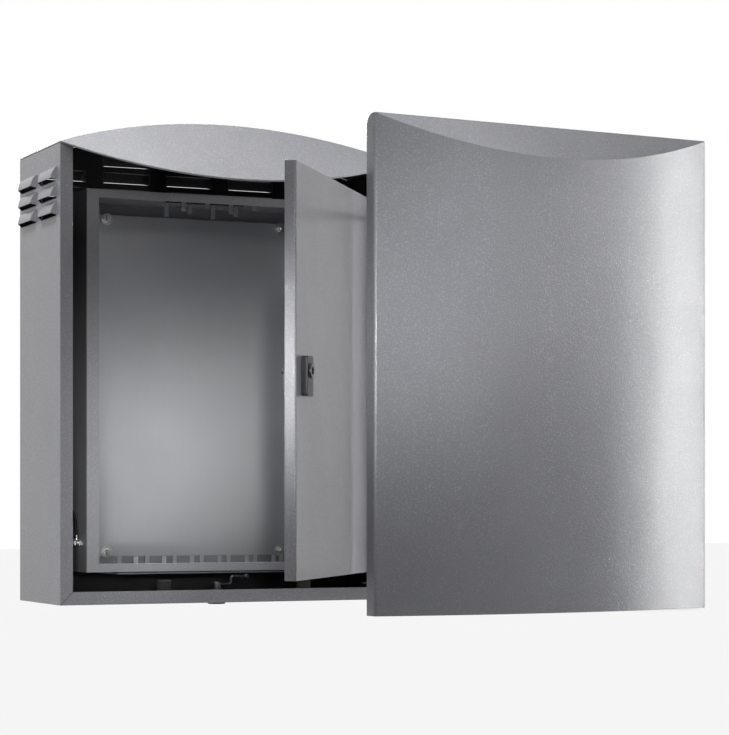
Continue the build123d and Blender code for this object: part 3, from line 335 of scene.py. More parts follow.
def grain_group():
    """Rolled metal grain: noise stretched along one axis, with soft cloudy patches."""
    group, start, end = new_group(
        "Rolled grain",
        [
            ("Colour", "NodeSocketColor", (0.6, 0.6, 0.6, 1)),
            ("Along", "NodeSocketVector", (1.0, 1.0, 0.05)),
            ("Amount", "NodeSocketFloat", 0.1),
        ],
        [("Colour", "NodeSocketColor"), ("Height", "NodeSocketFloat"), ("Rough", "NodeSocketFloat")],
    )
    place = node(group, "ShaderNodeTexCoord")
    stretch = node(group, "ShaderNodeVectorMath", operation="MULTIPLY")
    group.links.new(place.outputs["Object"], stretch.inputs[0])
    group.links.new(start.outputs["Along"], stretch.inputs[1])
    streak = node(group, "ShaderNodeTexNoise", Scale=STREAK_SCALE, Detail=3.0)
    cloud = node(group, "ShaderNodeTexNoise", Scale=CLOUD_SCALE, Detail=4.0, Roughness=0.6)
    group.links.new(stretch.outputs[0], streak.inputs["Vector"])
    group.links.new(place.outputs["Object"], cloud.inputs["Vector"])
    both = maths(group, "ADD", streak.outputs["Fac"], cloud.outputs["Fac"])
    dark = mix_colour(group, start.outputs["Amount"], start.outputs["Colour"], (0, 0, 0))
    group.links.new(
        mix_colour(group, maths(group, "MULTIPLY", both, 0.5), dark, start.outputs["Colour"]),
        end.inputs["Colour"],
    )
    group.links.new(streak.outputs["Fac"], end.inputs["Height"])
    spread = maths(group, "MULTIPLY", cloud.outputs["Fac"], CLOUD_ROUGH)
    group.links.new(maths(group, "ADD", spread, LEAST_ROUGH), end.inputs["Rough"])


def surface(name):
    """New material with its Principled shader and a bump, returned as (material, tree, shader, bump)."""
    material = bpy.data.materials.new(name)
    material.use_nodes = True
    tree = material.node_tree
    shader = tree.nodes["Principled BSDF"]
    bump = node(tree, "ShaderNodeBump", Strength=1.0, Distance=0.0001)
    tree.links.new(bump.outputs["Normal"], shader.inputs["Normal"])
    return material, tree, shader, bump


def powder_paint(name, tint, scale, relief, roughness):
    """Powder-coated sheet, grain in height and roughness: (material, tree, shader, coat)."""
    material, tree, shader, bump = surface(name)
    coat = node(tree, "ShaderNodeGroup", node_tree=bpy.data.node_groups["Powder coat"])
    coat.inputs["Colour"].default_value = (*tint, 1)
    coat.inputs["Scale"].default_value = scale
    bump.inputs["Distance"].default_value = relief
    tree.links.new(coat.outputs["Height"], bump.inputs["Height"])
    tree.links.new(coat.outputs["Colour"], shader.inputs["Base Color"])
    shift = maths(tree, "MULTIPLY", coat.outputs["Speckle"], SPECKLE_SMOOTH)
    tree.links.new(maths(tree, "ADD", shift, roughness), shader.inputs["Roughness"])
    return material, tree, shader, coat


def shaded_paint(name):
    """Outer paint with painted shade: near black on the faces that the mesh's attribute marks as inner, with
    mitre seams.
    """
    s = finish()
    material, tree, shader, coat = powder_paint(name, s.skin, 1 / s.grain, s.relief, s.gloss)
    inner = node(tree, "ShaderNodeAttribute", attribute_name="inner")
    # Painted shade: faces marked inner take the near-black inside colour in place of the paint.
    dark = mix_colour(tree, inner.outputs["Fac"], coat.outputs["Colour"], s.inside)
    seam = mix_colour(tree, seam_mask(tree), dark, s.inside)
    tree.links.new(seam, shader.inputs["Base Color"])
    dull = maths(tree, "MULTIPLY", inner.outputs["Fac"], INNER_DULL)
    tree.links.new(maths(tree, "ADD", dull, s.gloss), shader.inputs["Roughness"])
    return material


def seam_mask(tree):
    """One on the diagonal of each mitred corner of the front frame: equal distances from both edges."""
    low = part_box("housing_shell")[0]
    half_wide = NODES["roof_panel"].dimensions.x / 2
    half_tall = -low.z
    place = node(tree, "ShaderNodeTexCoord")
    parts = node(tree, "ShaderNodeSeparateXYZ")
    tree.links.new(place.outputs["Object"], parts.inputs[0])
    to_side = maths(tree, "SUBTRACT", half_wide, maths(tree, "ABSOLUTE", parts.outputs[0], 0.0))
    to_end = maths(tree, "ADD", parts.outputs[2], half_tall)
    apart = maths(tree, "ABSOLUTE", maths(tree, "SUBTRACT", to_side, to_end), 0.0)
    on_line = maths(tree, "LESS_THAN", apart, SEAM_WIDE)
    on_frame = maths(tree, "LESS_THAN", to_end, RETURN_WIDE)
    at_front = maths(tree, "LESS_THAN", parts.outputs[1], low.y + SKIN_SLACK)
    both = maths(tree, "MULTIPLY", on_line, on_frame)
    return maths(tree, "MULTIPLY", maths(tree, "MULTIPLY", both, at_front), SEAM_DARK)


def metal(name, tint, along, amount, relief, metallic=1.0):
    """Zinc or steel with rolled grain and cloudy roughness."""
    material, tree, shader, bump = surface(name)
    grain = node(tree, "ShaderNodeGroup", node_tree=bpy.data.node_groups["Rolled grain"])
    grain.inputs["Colour"].default_value = (*tint, 1)
    grain.inputs["Along"].default_value = along
    grain.inputs["Amount"].default_value = amount
    bump.inputs["Distance"].default_value = relief
    tree.links.new(grain.outputs["Height"], bump.inputs["Height"])
    tree.links.new(grain.outputs["Colour"], shader.inputs["Base Color"])
    tree.links.new(grain.outputs["Rough"], shader.inputs["Roughness"])
    shader.inputs["Metallic"].default_value = metallic
    return material


def moulded(name, tint, scale, relief, roughness):
    """Rubber or plastic with a fine eroded texture and little shine."""
    material, _, shader, _ = powder_paint(name, tint, scale, relief, roughness)
    shader.inputs["Specular IOR Level"].default_value = 0.25
    return material


def make_materials():
    """All finishes of the enclosure, kept under short names."""
    s = finish()
    powder_group()
    grain_group()
    coarse = 1 / s.grain
    MADE["skin"] = powder_paint("Outer powder coat", s.skin, coarse, s.relief, s.gloss)[0]
    # Housing and roof: outer paint with painted shade on their inner faces.
    MADE["housing"] = shaded_paint("Housing powder coat with painted inner shade")
    MADE["box"] = powder_paint("Inner box paint", s.box, coarse * 1.3, s.relief * 0.5, 0.36)[0]
    MADE["zinc"] = metal("Zinc sheet", s.zinc, (1.0, 1.0, 0.04), 0.16, 0.00002, 0.25)
    MADE["bright"] = metal("Bright zinc", s.bright, (1.0, 1.0, 1.0), 0.12, 0.00001)
    MADE["steel"] = metal("Rolled stainless", s.bright, (0.05, 0.05, 1.0), 0.1, 0.00002)
    MADE["dark"] = metal("Dark lock steel", s.lock, (1.0, 1.0, 1.0), 0.3, 0.00001)
    MADE["rubber"] = moulded("Foamed rubber", s.rubber, 1500.0, 0.00008, 0.78)
    MADE["plastic"] = moulded("Lock plastic", s.plastic, 2600.0, 0.00004, 0.42)
    MADE["lead"] = moulded("Lead insulation", s.plastic, 3000.0, 0.00002, 0.5)


class ENCLOSURE_OT_finishes(bpy.types.Operator):
    """Mixes the paints, metals, rubber and plastics of the enclosure"""

    bl_idname = "enclosure.finishes"
    bl_label = "Finishes"

    def execute(self, context):
        make_materials()
        return {"FINISHED"}


MATERIAL_OF_SLOT = {
    "outdoor_grey_paint": "skin",
    "box_grey_paint": "box",
    "seal_rubber": "rubber",
    "zinc_sheet": "zinc",
    "stainless": "steel",
    "zinc_fastener": "bright",
    "lock_black": "plastic",
    "lead_black": "lead",
}


# Meshes
def add_piece(mesh, name, material, like):
    """Object of that mesh that rides with the CAD node it stands by and takes the material it is given."""
    piece = bpy.data.objects.new(name, mesh)
    bpy.context.scene.collection.objects.link(piece)
    mesh.materials.clear()
    mesh.materials.append(material)
    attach(piece, NODES[like]["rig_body"])
    return piece


def merged(like):
    """Copy of a CAD node's mesh with its loose triangles joined."""
    bm = bmesh.new()
    bm.from_mesh(NODES[like].data)
    bmesh.ops.remove_doubles(bm, verts=bm.verts, dist=JOIN_WITHIN)
    return bm


def islands(like):
    """Lowest and highest corner of each separate solid in a CAD node, sorted by place."""
    bm = merged(like)
    bm.verts.ensure_lookup_table()
    seen = set()
    boxes = []
    for vert in bm.verts:
        if vert.index in seen:
            continue
        stack, found = [vert], []
        seen.add(vert.index)
        while stack:
            here = stack.pop()
            found.append(here.co[:])
            for edge in here.link_edges:
                other = edge.other_vert(here)
                if other.index not in seen:
                    seen.add(other.index)
                    stack.append(other)
        points = np.array(found)
        boxes.append((points.min(0), points.max(0)))
    bm.free()
    return sorted(boxes, key=lambda pair: tuple(np.round(pair[0], 4)))


def points_of(mesh):
    """All corners of a mesh as one array of rows."""
    points = np.zeros(len(mesh.vertices) * 3)
    mesh.vertices.foreach_get("co", points)
    return points.reshape(-1, 3)


def lift_lips(bm):
    """Raises each point proud of the side or back wall, so that slots show below the louvre lips."""
    half_wide = NODES["roof_panel"].dimensions.x / 2 + PROUD
    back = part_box("roof_panel")[1].y + PROUD
    for vert in bm.verts:
        if abs(vert.co.x) > half_wide:
            vert.co.z += LIP_LIFT
        elif vert.co.y > back:
            vert.co.z += BACK_LIP_LIFT


def mark_painted_shade(mesh, like):
    """Face attribute for painted shade: one where a housing face looks at the housing's middle, nought
    elsewhere.
    """
    count = len(mesh.polygons)
    centres = np.zeros(count * 3)
    normals = np.zeros(count * 3)
    mesh.polygons.foreach_get("center", centres)
    mesh.polygons.foreach_get("normal", normals)
    centres = centres.reshape(-1, 3)
    normals = normals.reshape(-1, 3)
    looks_in = ((HOUSING_MIDDLE - centres) * normals).sum(1) > 0
    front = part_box("housing_shell")[0].y + FRONT_SLACK
    half_wide = NODES["roof_panel"].dimensions.x / 2 + SKIN_SLACK
    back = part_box("roof_panel")[1].y + SKIN_SLACK
    proud = (np.abs(centres[:, 0]) > half_wide) | (centres[:, 1] > back)
    lip = proud & (normals[:, 2] < -0.7)
    # Faces that take the painted shade: those looking inwards, behind the front, but not the louvre lips.
    inner = looks_in & (centres[:, 1] > front) & ~lip
    if like not in SHADED:
        inner[:] = False
    attribute = mesh.attributes.new("inner", "FLOAT", "FACE")
    attribute.data.foreach_set("value", inner.astype(np.float32))


def softened(like, material, rounding):
    """CAD node with its folds and cut edges rounded over, in place of the node."""
    bm = merged(like)
    if like == "housing_shell":
        lift_lips(bm)
    bmesh.ops.dissolve_limit(
        bm, angle_limit=FLAT_WITHIN, use_dissolve_boundaries=False, verts=bm.verts, edges=bm.edges,
        delimit={"NORMAL"},
    )
    mesh = bpy.data.meshes.new(like + "_finished")
    bm.to_mesh(mesh)
    bm.free()
    mark_painted_shade(mesh, like)
    mesh.shade_smooth()
    mesh.set_sharp_from_angle(angle=FOLD_ANGLE)
    piece = add_piece(mesh, like + "_finished", material, like)
    bevel = piece.modifiers.new("Rounded edges", "BEVEL")
    bevel.width = rounding
    bevel.segments = BEVEL_STEPS
    bevel.limit_method = "ANGLE"
    bevel.angle_limit = FOLD_ANGLE
    bevel.use_clamp_overlap = like in CLAMPED
    even = piece.modifiers.new("Even normals", "WEIGHTED_NORMAL")
    even.keep_sharp = True
    even.weight = 100
    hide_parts(like)


def grid_faces(rows, columns, wrap_rows, wrap_columns):
    """Quads of a grid of rows by columns, wrapped round in either direction if asked."""
    r = np.arange(rows if wrap_rows else rows - 1)
    c = np.arange(columns if wrap_columns else columns - 1)
    r, c = np.meshgrid(r, c, indexing="ij")
    r, c = r.ravel(), c.ravel()
    r1, c1 = (r + 1) % rows, (c + 1) % columns
    return np.stack([r * columns + c, r * columns + c1, r1 * columns + c1, r1 * columns + c], axis=1)


def mesh_of(name, parts):
    """One mesh from several (points, faces) parts, with its normals turned outwards."""
    mesh = bpy.data.meshes.new(name)
    points, faces, base = [], [], 0
    for vertices, polygons in parts:
        points.append(vertices)
        faces += [tuple(int(i) + base for i in polygon) for polygon in polygons]
        base += len(vertices)
    mesh.from_pydata(np.concatenate(points).tolist(), [], faces)
    bm = bmesh.new()
    bm.from_mesh(mesh)
    bmesh.ops.recalc_face_normals(bm, faces=bm.faces)
    bm.to_mesh(mesh)
    bm.free()
    mesh.shade_smooth()
    mesh.set_sharp_from_angle(angle=MOULD_ANGLE)
    return mesh


def stand(points, base, along):
    """Points made about +Z, turned so that +Z lies along a direction and moved to a base."""
    turn = Vector((0, 0, 1)).rotation_difference(Vector(along).normalized()).to_matrix()
    return points @ np.array(turn).T + np.array(base)


def closed_tube(grid):
    """Rows of rings closed by a flat fan at each end: (points, faces)."""
    rows, columns = grid.shape[:2]
    points = grid.reshape(-1, 3)
    faces = [tuple(face) for face in grid_faces(rows, columns, False, True)]
    first, last = len(points), len(points) + 1
    points = np.concatenate([points, grid[0].mean(0)[None], grid[-1].mean(0)[None]])
    ring = np.arange(columns)
    nxt = (ring + 1) % columns
    top = (rows - 1) * columns
    faces += [(first, b, a) for a, b in zip(ring, nxt)]
    faces += [(last, a + top, b + top) for a, b in zip(ring, nxt)]
    return points, faces


def rings_of(profile, columns):
    """Each (radius, height) of a profile carried once round the axis, as one row of the grid."""
    r, h = np.array(profile, float).T
    angle = np.linspace(0, 2 * pi, columns, endpoint=False)
    level = np.repeat(h[:, None], columns, 1)
    return np.stack([np.outer(r, np.cos(angle)), np.outer(r, np.sin(angle)), level], axis=2)


def turned(profile, base, along, columns=48):
    """Turned piece: the profile's rings, closed by a fan at each end."""
    points, faces = closed_tube(rings_of(profile, columns))
    return stand(points, base, along), faces


def ring_part(profile, base, along, columns=56):
    """Turned ring: a closed profile of (radius, height) carried round the axis."""
    points = rings_of(profile, columns).reshape(-1, 3)
    return stand(points, base, along), grid_faces(len(profile), columns, True, True)


def hexagon(flat, tall, base, along, bore=0.0, columns=72):
    """Chamfered hexagon: at each angle the smaller of the hexagon's radius and a 30 degree cone's."""
    angle = np.linspace(0, 2 * pi, columns, endpoint=False)
    hexed = flat / np.cos((angle % (pi / 3)) - pi / 6)
    rise = np.array([0.0, 0.06, 0.14, 0.5, 0.86, 0.94, 1.0]) * tall
    cone = flat * 0.96 + np.minimum(rise, tall - rise) / np.tan(radians(30))
    r = np.minimum(hexed[None, :], cone[:, None])
    grid = np.stack([r * np.cos(angle), r * np.sin(angle), np.repeat(rise[:, None], columns, 1)], axis=2)
    if bore:
        ring = bore * np.stack([np.cos(angle), np.sin(angle), 0 * angle], axis=1)
        lift = np.array([0, 0, 1.0])
        wall = np.stack([ring + lift * tall, ring])
        grid = np.concatenate([grid, wall])
        points = grid.reshape(-1, 3)
        return stand(points, base, along), grid_faces(len(grid), columns, True, True)
    points, faces = closed_tube(grid)
    return stand(points, base, along), faces


def threaded(radius, pitch, tall, base, along, columns=28):
    """Threaded rod: the radius dips by a triangle wave of height over pitch less angle over a turn."""
    rows = max(8, int(tall / pitch * 7))
    h = np.linspace(0, tall, rows)
    angle = np.linspace(0, 2 * pi, columns, endpoint=False)
    phase = (h[:, None] / pitch - angle[None, :] / (2 * pi)) % 1.0
    depth = 0.54 * pitch
    fade = np.clip(np.minimum(h, tall - h) / pitch, 0, 1)[:, None]
    r = radius - depth * np.abs(2 * phase - 1) - (1 - fade) * depth * 0.4
    grid = np.stack([r * np.cos(angle), r * np.sin(angle), np.repeat(h[:, None], columns, 1)], axis=2)
    points, faces = closed_tube(grid)
    return stand(points, base, along), faces


def domed_head(radius, tall, base, along):
    """Pan head: a rounded edge on a slightly domed top."""
    profile = [(radius, 0), (radius, tall * 0.35)]
    for step in np.linspace(0, pi / 2, 6):
        profile.append((radius * (0.72 + 0.28 * cos(step)), tall * (0.35 + 0.5 * sin(step))))
    profile.append((radius * 0.35, tall * 0.97))
    profile.append((radius * 0.05, tall))
    return turned(profile, base, along)


def rounded_rectangle(half_wide, half_tall, corner, steps):
    """Points of a rectangle with quarter-circle corners, anticlockwise."""
    out = []
    for quarter, (sx, sy) in enumerate(((1, 1), (-1, 1), (-1, -1), (1, -1))):
        centre = np.array([sx * (half_wide - corner), sy * (half_tall - corner)])
        angle = np.linspace(quarter * pi / 2, (quarter + 1) * pi / 2, steps)
        out.append(centre + corner * np.stack([np.cos(angle), np.sin(angle)], axis=1))
    return np.concatenate(out)


def ring_normals(ring):
    """Unit inward normals of a closed anticlockwise ring."""
    step = np.roll(ring, -1, 0) - np.roll(ring, 1, 0)
    step /= np.linalg.norm(step, axis=1)[:, None]
    return np.stack([-step[:, 1], step[:, 0]], axis=1)


def middle(box):
    """Point halfway between a box's two corners."""
    return (box[0] + box[1]) / 2


def place_of(like, name, parts, material):
    """New piece from parts, in place of a CAD node."""
    piece = add_piece(mesh_of(name, parts), name, material, like)
    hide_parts(like)


# Pieces by the way they are finished
# Housing and roof, whose inner faces get painted shade.
SHADED = ["housing_shell", "roof_panel"]
SHEETS = [
    "cable_entry_plate", "cover_shell", "cover_stiffeners", "cover_bracket_lower",
    "cover_bracket_upper", "cover_keeper", "arm_bracket_lower", "arm_bracket_upper", "inner_door_shell",
    "inner_enclosure_body", "gland_plate_floor", "gland_plate_ceiling",
]
RAILS = ["rear_rail_upper", "rear_rail_lower", "pole_band_upper", "pole_band_lower", "mounting_plate"]
SMALL = [
    "gland_clips_floor", "gland_clips_ceiling", "hinge_box_leaves", "hinge_door_leaves", "enclosure_spacers",
    "band_screws", "hinge_pins", "earth_studs", "bracket_rivets", "link_pin", "cover_pins", "swing_shaft",
    "swing_arm_lower", "swing_arm_upper", "link_arm", "cover_lock_cam", "cover_lock_body", "cover_lock_nut",
    "inner_lock_nut", "inner_lock_cam", "inner_lock_case", "inner_lock_barrel", "gland_gasket_floor",
    "gland_gasket_ceiling", "arm_buffers",
]
CLAMPED = ("hinge_door_leaves", "cover_lock_cam", "inner_lock_nut", "enclosure_bolts")
BLACKENED = (
    "cover_lock_cam", "cover_lock_body", "cover_lock_nut", "inner_lock_nut", "inner_lock_barrel",
    "inner_lock_cam",
)


def slot_material(like):
    """Finish of the material slot that a CAD node has in the record."""
    return MADE[MATERIAL_OF_SLOT[SLOT_OF[like]]]


class ENCLOSURE_OT_sheets(bpy.types.Operator):
    """Rounds the folded sheets of the housing, roof, cover, door and inner box"""

    bl_idname = "enclosure.sheets"
    bl_label = "Folded sheets"

    def execute(self, context):
        for like in SHADED:
            softened(like, MADE["housing"], edges().fold)
        for like in SHEETS:
            softened(like, slot_material(like), edges().fold)
        return {"FINISHED"}


class ENCLOSURE_OT_rails(bpy.types.Operator):
    """Rounds the rails, the pole bands and the mounting plate"""

    bl_idname = "enclosure.rails"
    bl_label = "Rails, bands and plate"

    def execute(self, context):
        for like in RAILS:
            softened(like, slot_material(like), edges().cut)
        return {"FINISHED"}


class ENCLOSURE_OT_fittings(bpy.types.Operator):
    """Rounds the small fittings: hinges, arms, brackets, locks, gaskets and buffers"""

    bl_idname = "enclosure.fittings"
    bl_label = "Small fittings"

    def execute(self, context):
        for like in SMALL:
            material = MADE["dark"] if like in BLACKENED else slot_material(like)
            softened(like, material, edges().cut)
        return {"FINISHED"}


class ENCLOSURE_OT_fasteners(bpy.types.Operator):
    """Cuts threads and chamfers on the studs, nuts, bolts and screws"""

    bl_idname = "enclosure.fasteners"
    bl_label = "Studs, nuts and bolts"

    def execute(self, context):
        self.plate_fixings()
        self.through_bolts("enclosure_bolts", "enclosure_bolts_finished", BOLT_HEAD, True)
        self.through_bolts("rail_bolts", "rail_bolts_finished", RAIL_HEAD, False)
        self.floor_screws()
        return {"FINISHED"}

    def plate_fixings(self):
        """Threaded welded studs with their collars, and a nut on a wide washer on each."""
        pitch = edges().thread_pitch
        studs, nuts = [], []
        for low, high in islands("plate_studs"):
            centre = middle((low, high))
            collar = (high[0] - low[0]) / 2
            root = (centre[0], high[1], centre[2])
            studs.append(threaded(collar / 2, pitch, high[1] - low[1], root, FRONT))
            ring = [(collar * 0.9, 0), (collar, COLLAR_TALL * 0.1)]
            ring += [(collar, COLLAR_TALL * 0.9), (collar * 0.9, COLLAR_TALL)]
            studs.append(turned(ring, root, FRONT))
        for low, high in islands("plate_nuts"):
            centre = middle((low, high))
            washer = (high[0] - low[0]) / 2
            thick = WASHER_THICK
            tall = high[1] - low[1] - thick
            bore = PLATE_NUT_BORE
            rim = [(bore, 0), (washer * 0.97, 0), (washer, thick * 0.3), (washer, thick * 0.7)]
            rim += [(washer * 0.97, thick), (bore, thick)]
            nuts.append(ring_part(rim, (centre[0], high[1], centre[2]), FRONT))
            base = (centre[0], high[1] - thick, centre[2])
            nuts.append(hexagon(PLATE_NUT_FLAT, tall, base, FRONT, bore))
        place_of("plate_studs", "plate_studs_finished", studs, MADE["bright"])
        place_of("plate_nuts", "plate_nuts_finished", nuts, MADE["bright"])

    def through_bolts(self, like, name, head_tall, hexed):
        """Bolts along the depth: head inside, threaded end and nut behind."""
        parts = []
        pitch = edges().thread_pitch
        for low, high in islands(like):
            centre = middle((low, high))
            across = (high[0] - low[0]) / 2 * cos(radians(30))
            front = (centre[0], low[1], centre[2])
            if hexed:
                parts.append(hexagon(across, head_tall, front, REAR))
            else:
                seat = (centre[0], low[1] + head_tall, centre[2])
                parts.append(domed_head(across * 1.1, head_tall, seat, FRONT))
            nut = (centre[0], high[1] - NUT_FROM_END, centre[2])
            parts.append(hexagon(across, NUT_TALL, nut, REAR, STUD_RADIUS))
            tall = high[1] - low[1] - head_tall * 0.6
            end = (centre[0], high[1], centre[2])
            parts.append(threaded(STUD_RADIUS, pitch, tall, end, FRONT))
        place_of(like, name, parts, MADE["bright"])

    def floor_screws(self):
        """Domed heads under the floor, and their threaded ends above."""
        parts = []
        for low, high in islands("entry_plate_screws"):
            centre = middle((low, high))
            radius = (high[0] - low[0]) / 2
            seat = (centre[0], centre[1], low[2] + SCREW_HEAD)
            parts.append(domed_head(radius, SCREW_HEAD, seat, DOWN))
            parts.append(threaded(radius / 2, SCREW_PITCH, high[2] - seat[2], seat, UP))
        place_of("entry_plate_screws", "entry_plate_screws_finished", parts, MADE["bright"])


class ENCLOSURE_OT_door_seal(bpy.types.Operator):
    """Lays the foamed seal as a crowned bead round the inner door"""

    bl_idname = "enclosure.door_seal"
    bl_label = "Door seal"

    def execute(self, context):
        place_of("inner_door_gasket", "inner_door_seal", [self.bead()], MADE["rubber"])
        return {"FINISHED"}

    def bead(self):
        """Crowned section carried round a rounded rectangle on the door's own tilted plane."""
        points = points_of(NODES["inner_door_gasket"].data)
        flat = points[:, :2]
        centre = flat.mean(0)
        spread = np.linalg.eigh(np.cov((flat - centre).T))
        along = spread[1][:, 1]
        across = np.array([-along[1], along[0]])
        if across[1] < 0:
            across = -across
        u = (flat - centre) @ along
        v = (flat - centre) @ across
        half = (u.max() - u.min()) / 2
        mid_u = (u.max() + u.min()) / 2
        low_z, high_z = points[:, 2].min(), points[:, 2].max()
        thick = v.max() - v.min()
        width = SEAL_WIDE
        crown = edges().seal_crown
        ring = rounded_rectangle(half - width / 2, (high_z - low_z - width) / 2, SEAL_CORNER, 10)
        inward = ring_normals(ring)
        t = np.linspace(0, pi, 11)
        side = np.concatenate([[1.0], np.cos(t), [-1.0]]) * width / 2
        rise = np.concatenate([[0.0], thick - crown + crown * np.sin(t), [0.0]])
        place_2d = ring[:, None, :] + inward[:, None, :] * side[None, :, None]
        level = v.min() + rise
        base = centre + along * mid_u
        grid = np.zeros((len(ring), len(side), 3))
        flat_place = base + place_2d[..., :1] * along
        grid[..., :2] = flat_place + level[None, :, None] * across
        grid[..., 2] = place_2d[..., 1] + (low_z + high_z) / 2
        return grid.reshape(-1, 3), grid_faces(len(ring), len(side), True, True)


class ENCLOSURE_OT_earth_lead(bpy.types.Operator):
    """Runs the earth lead between its two studs, with a crimped ring terminal at each end"""

    bl_idname = "enclosure.earth_lead"
    bl_label = "Earth lead"

    def execute(self, context):
        curve = bpy.data.curves.new("earth_lead_cable", "CURVE")
        curve.dimensions = "3D"
        curve.bevel_depth = LEAD_WIDE / 2
        curve.bevel_resolution = 6
        curve.use_fill_caps = True
        spline = curve.splines.new("NURBS")
        spline.points.add(len(LEAD_ROUTE) - 1)
        for point, place in zip(spline.points, LEAD_ROUTE):
            point.co = (*place, 1)
        spline.order_u = 3
        spline.use_endpoint_u = True
        curve.materials.append(MADE["lead"])
        cable = bpy.data.objects.new("earth_lead_cable", curve)
        context.scene.collection.objects.link(cable)
        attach(cable, NODES["earth_lead"]["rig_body"])
        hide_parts("earth_lead")
        ends = [LEAD_ROUTE[0], LEAD_ROUTE[-1]]
        parts = []
        for place, way in zip(ends, (-1, 1)):
            parts += self.terminal(place, way)
        name = "earth_ring_terminals"
        rings = add_piece(mesh_of(name, parts), name, MADE["bright"], "earth_studs")
        return {"FINISHED"}

    def terminal(self, place, way):
        """Flat ring on the stud with a crimped barrel over the lead's end."""
        stud = np.array(place) + np.array([0, 0, way * EYE_FROM_LEAD])
        rim = [(EYE_BORE, 0), (EYE_RADIUS * 0.96, 0), (EYE_RADIUS, EYE_THICK / 2)]
        rim += [(EYE_RADIUS * 0.96, EYE_THICK), (EYE_BORE, EYE_THICK)]
        eye = ring_part(rim, stud - np.array([EYE_THICK / 2, 0, 0]), (1, 0, 0))
        wide = LEAD_WIDE / 2
        crimp = [(wide * 1.05, 0), (wide * 1.3, 0.6 * MM)]
        crimp += [(wide * 1.3, 3 * MM), (wide * 1.12, 4 * MM)]
        crimp += [(wide * 1.3, 5 * MM), (wide * 1.2, 7 * MM)]
        base = np.array(place) - np.array([0, 0, way * CRIMP_OVERLAP])
        return [eye, turned(crimp, base, (0, 0, way))]


# Stage: soft boxes as (name, place, aim, width, height, watts, beam in degrees)
SOFT_BOXES = (
    ("Overhead box", (0.0, -0.62, 2.6), (0.0, -0.35, 0.2), 1.2, 0.3, 3.6, 40),
    ("Overhead left box", (-1.2, -0.3, 2.2), (-0.29, -0.13, 0.25), 0.5, 0.5, 1.6, 30),
    ("Plate box", (-1.1, -3.35, 0.05), (-0.04, -0.05, -0.1), 0.25, 0.25, 0.24, 8),
    ("Corner box", (-1.4, -2.9, -0.9), (-0.26, -0.22, -0.36), 0.3, 0.3, 0.12, 9),
    ("Cover left box", (-1.2, -3.3, 0.3), (0.1, -0.65, 0.02), 0.3, 0.3, 0.2, 9),
    ("Cover top box", (-0.9, -3.2, 1.0), (0.2, -0.62, 0.2), 0.3, 0.3, 0.2, 9),
    ("Strip box", (2.51, -1.64, 0.15), (0.55, -0.61, 0.05), 0.08, 1.7, 5.0, 60),
    ("Door box", (0.35, -1.1, 2.0), (0.05, -0.4, 0.1), 0.3, 0.3, 0.14, 14),
    ("Door edge box", (-2.0, -2.0, 0.14), (-0.055, -0.58, 0.0), 0.2, 0.2, 0.06, 7),
    ("Right box", (2.4, -2.6, 0.6), (0.3, -0.6, 0.0), 0.8, 0.8, 1.0, 60),
    ("Back box", (0.9, 3.0, 1.3), (0.1, 0.0, 0.0), 1.2, 1.2, 12.0, 60),
)


def light(name, place, aim, wide, tall, power, spread):
    """Soft box at a place, aimed at a point, with its beam no wider than the spread in degrees."""
    data = bpy.data.lights.new(name, "AREA")
    data.shape = "RECTANGLE"
    data.size, data.size_y = wide, tall
    data.energy = power
    data.spread = radians(spread)
    lamp = bpy.data.objects.new(name, data)
    bpy.context.scene.collection.objects.link(lamp)
    lamp.location = place
    lamp.rotation_euler = (Vector(aim) - Vector(place)).to_track_quat("-Z", "Y").to_euler()


def seen_as_background(tree, shader_out, white, output):
    """White for camera, glossy and transmission rays, the given shader for the rest."""
    path = node(tree, "ShaderNodeLightPath")
    seen = maths(tree, "MAXIMUM", path.outputs["Is Camera Ray"], path.outputs["Is Glossy Ray"])
    seen = maths(tree, "MAXIMUM", seen, path.outputs["Is Transmission Ray"])
    mix = tree.nodes.new("ShaderNodeMixShader")
    tree.links.new(seen, mix.inputs[0])
    tree.links.new(shader_out, mix.inputs[1])
    tree.links.new(white, mix.inputs[2])
    tree.links.new(mix.outputs[0], output)


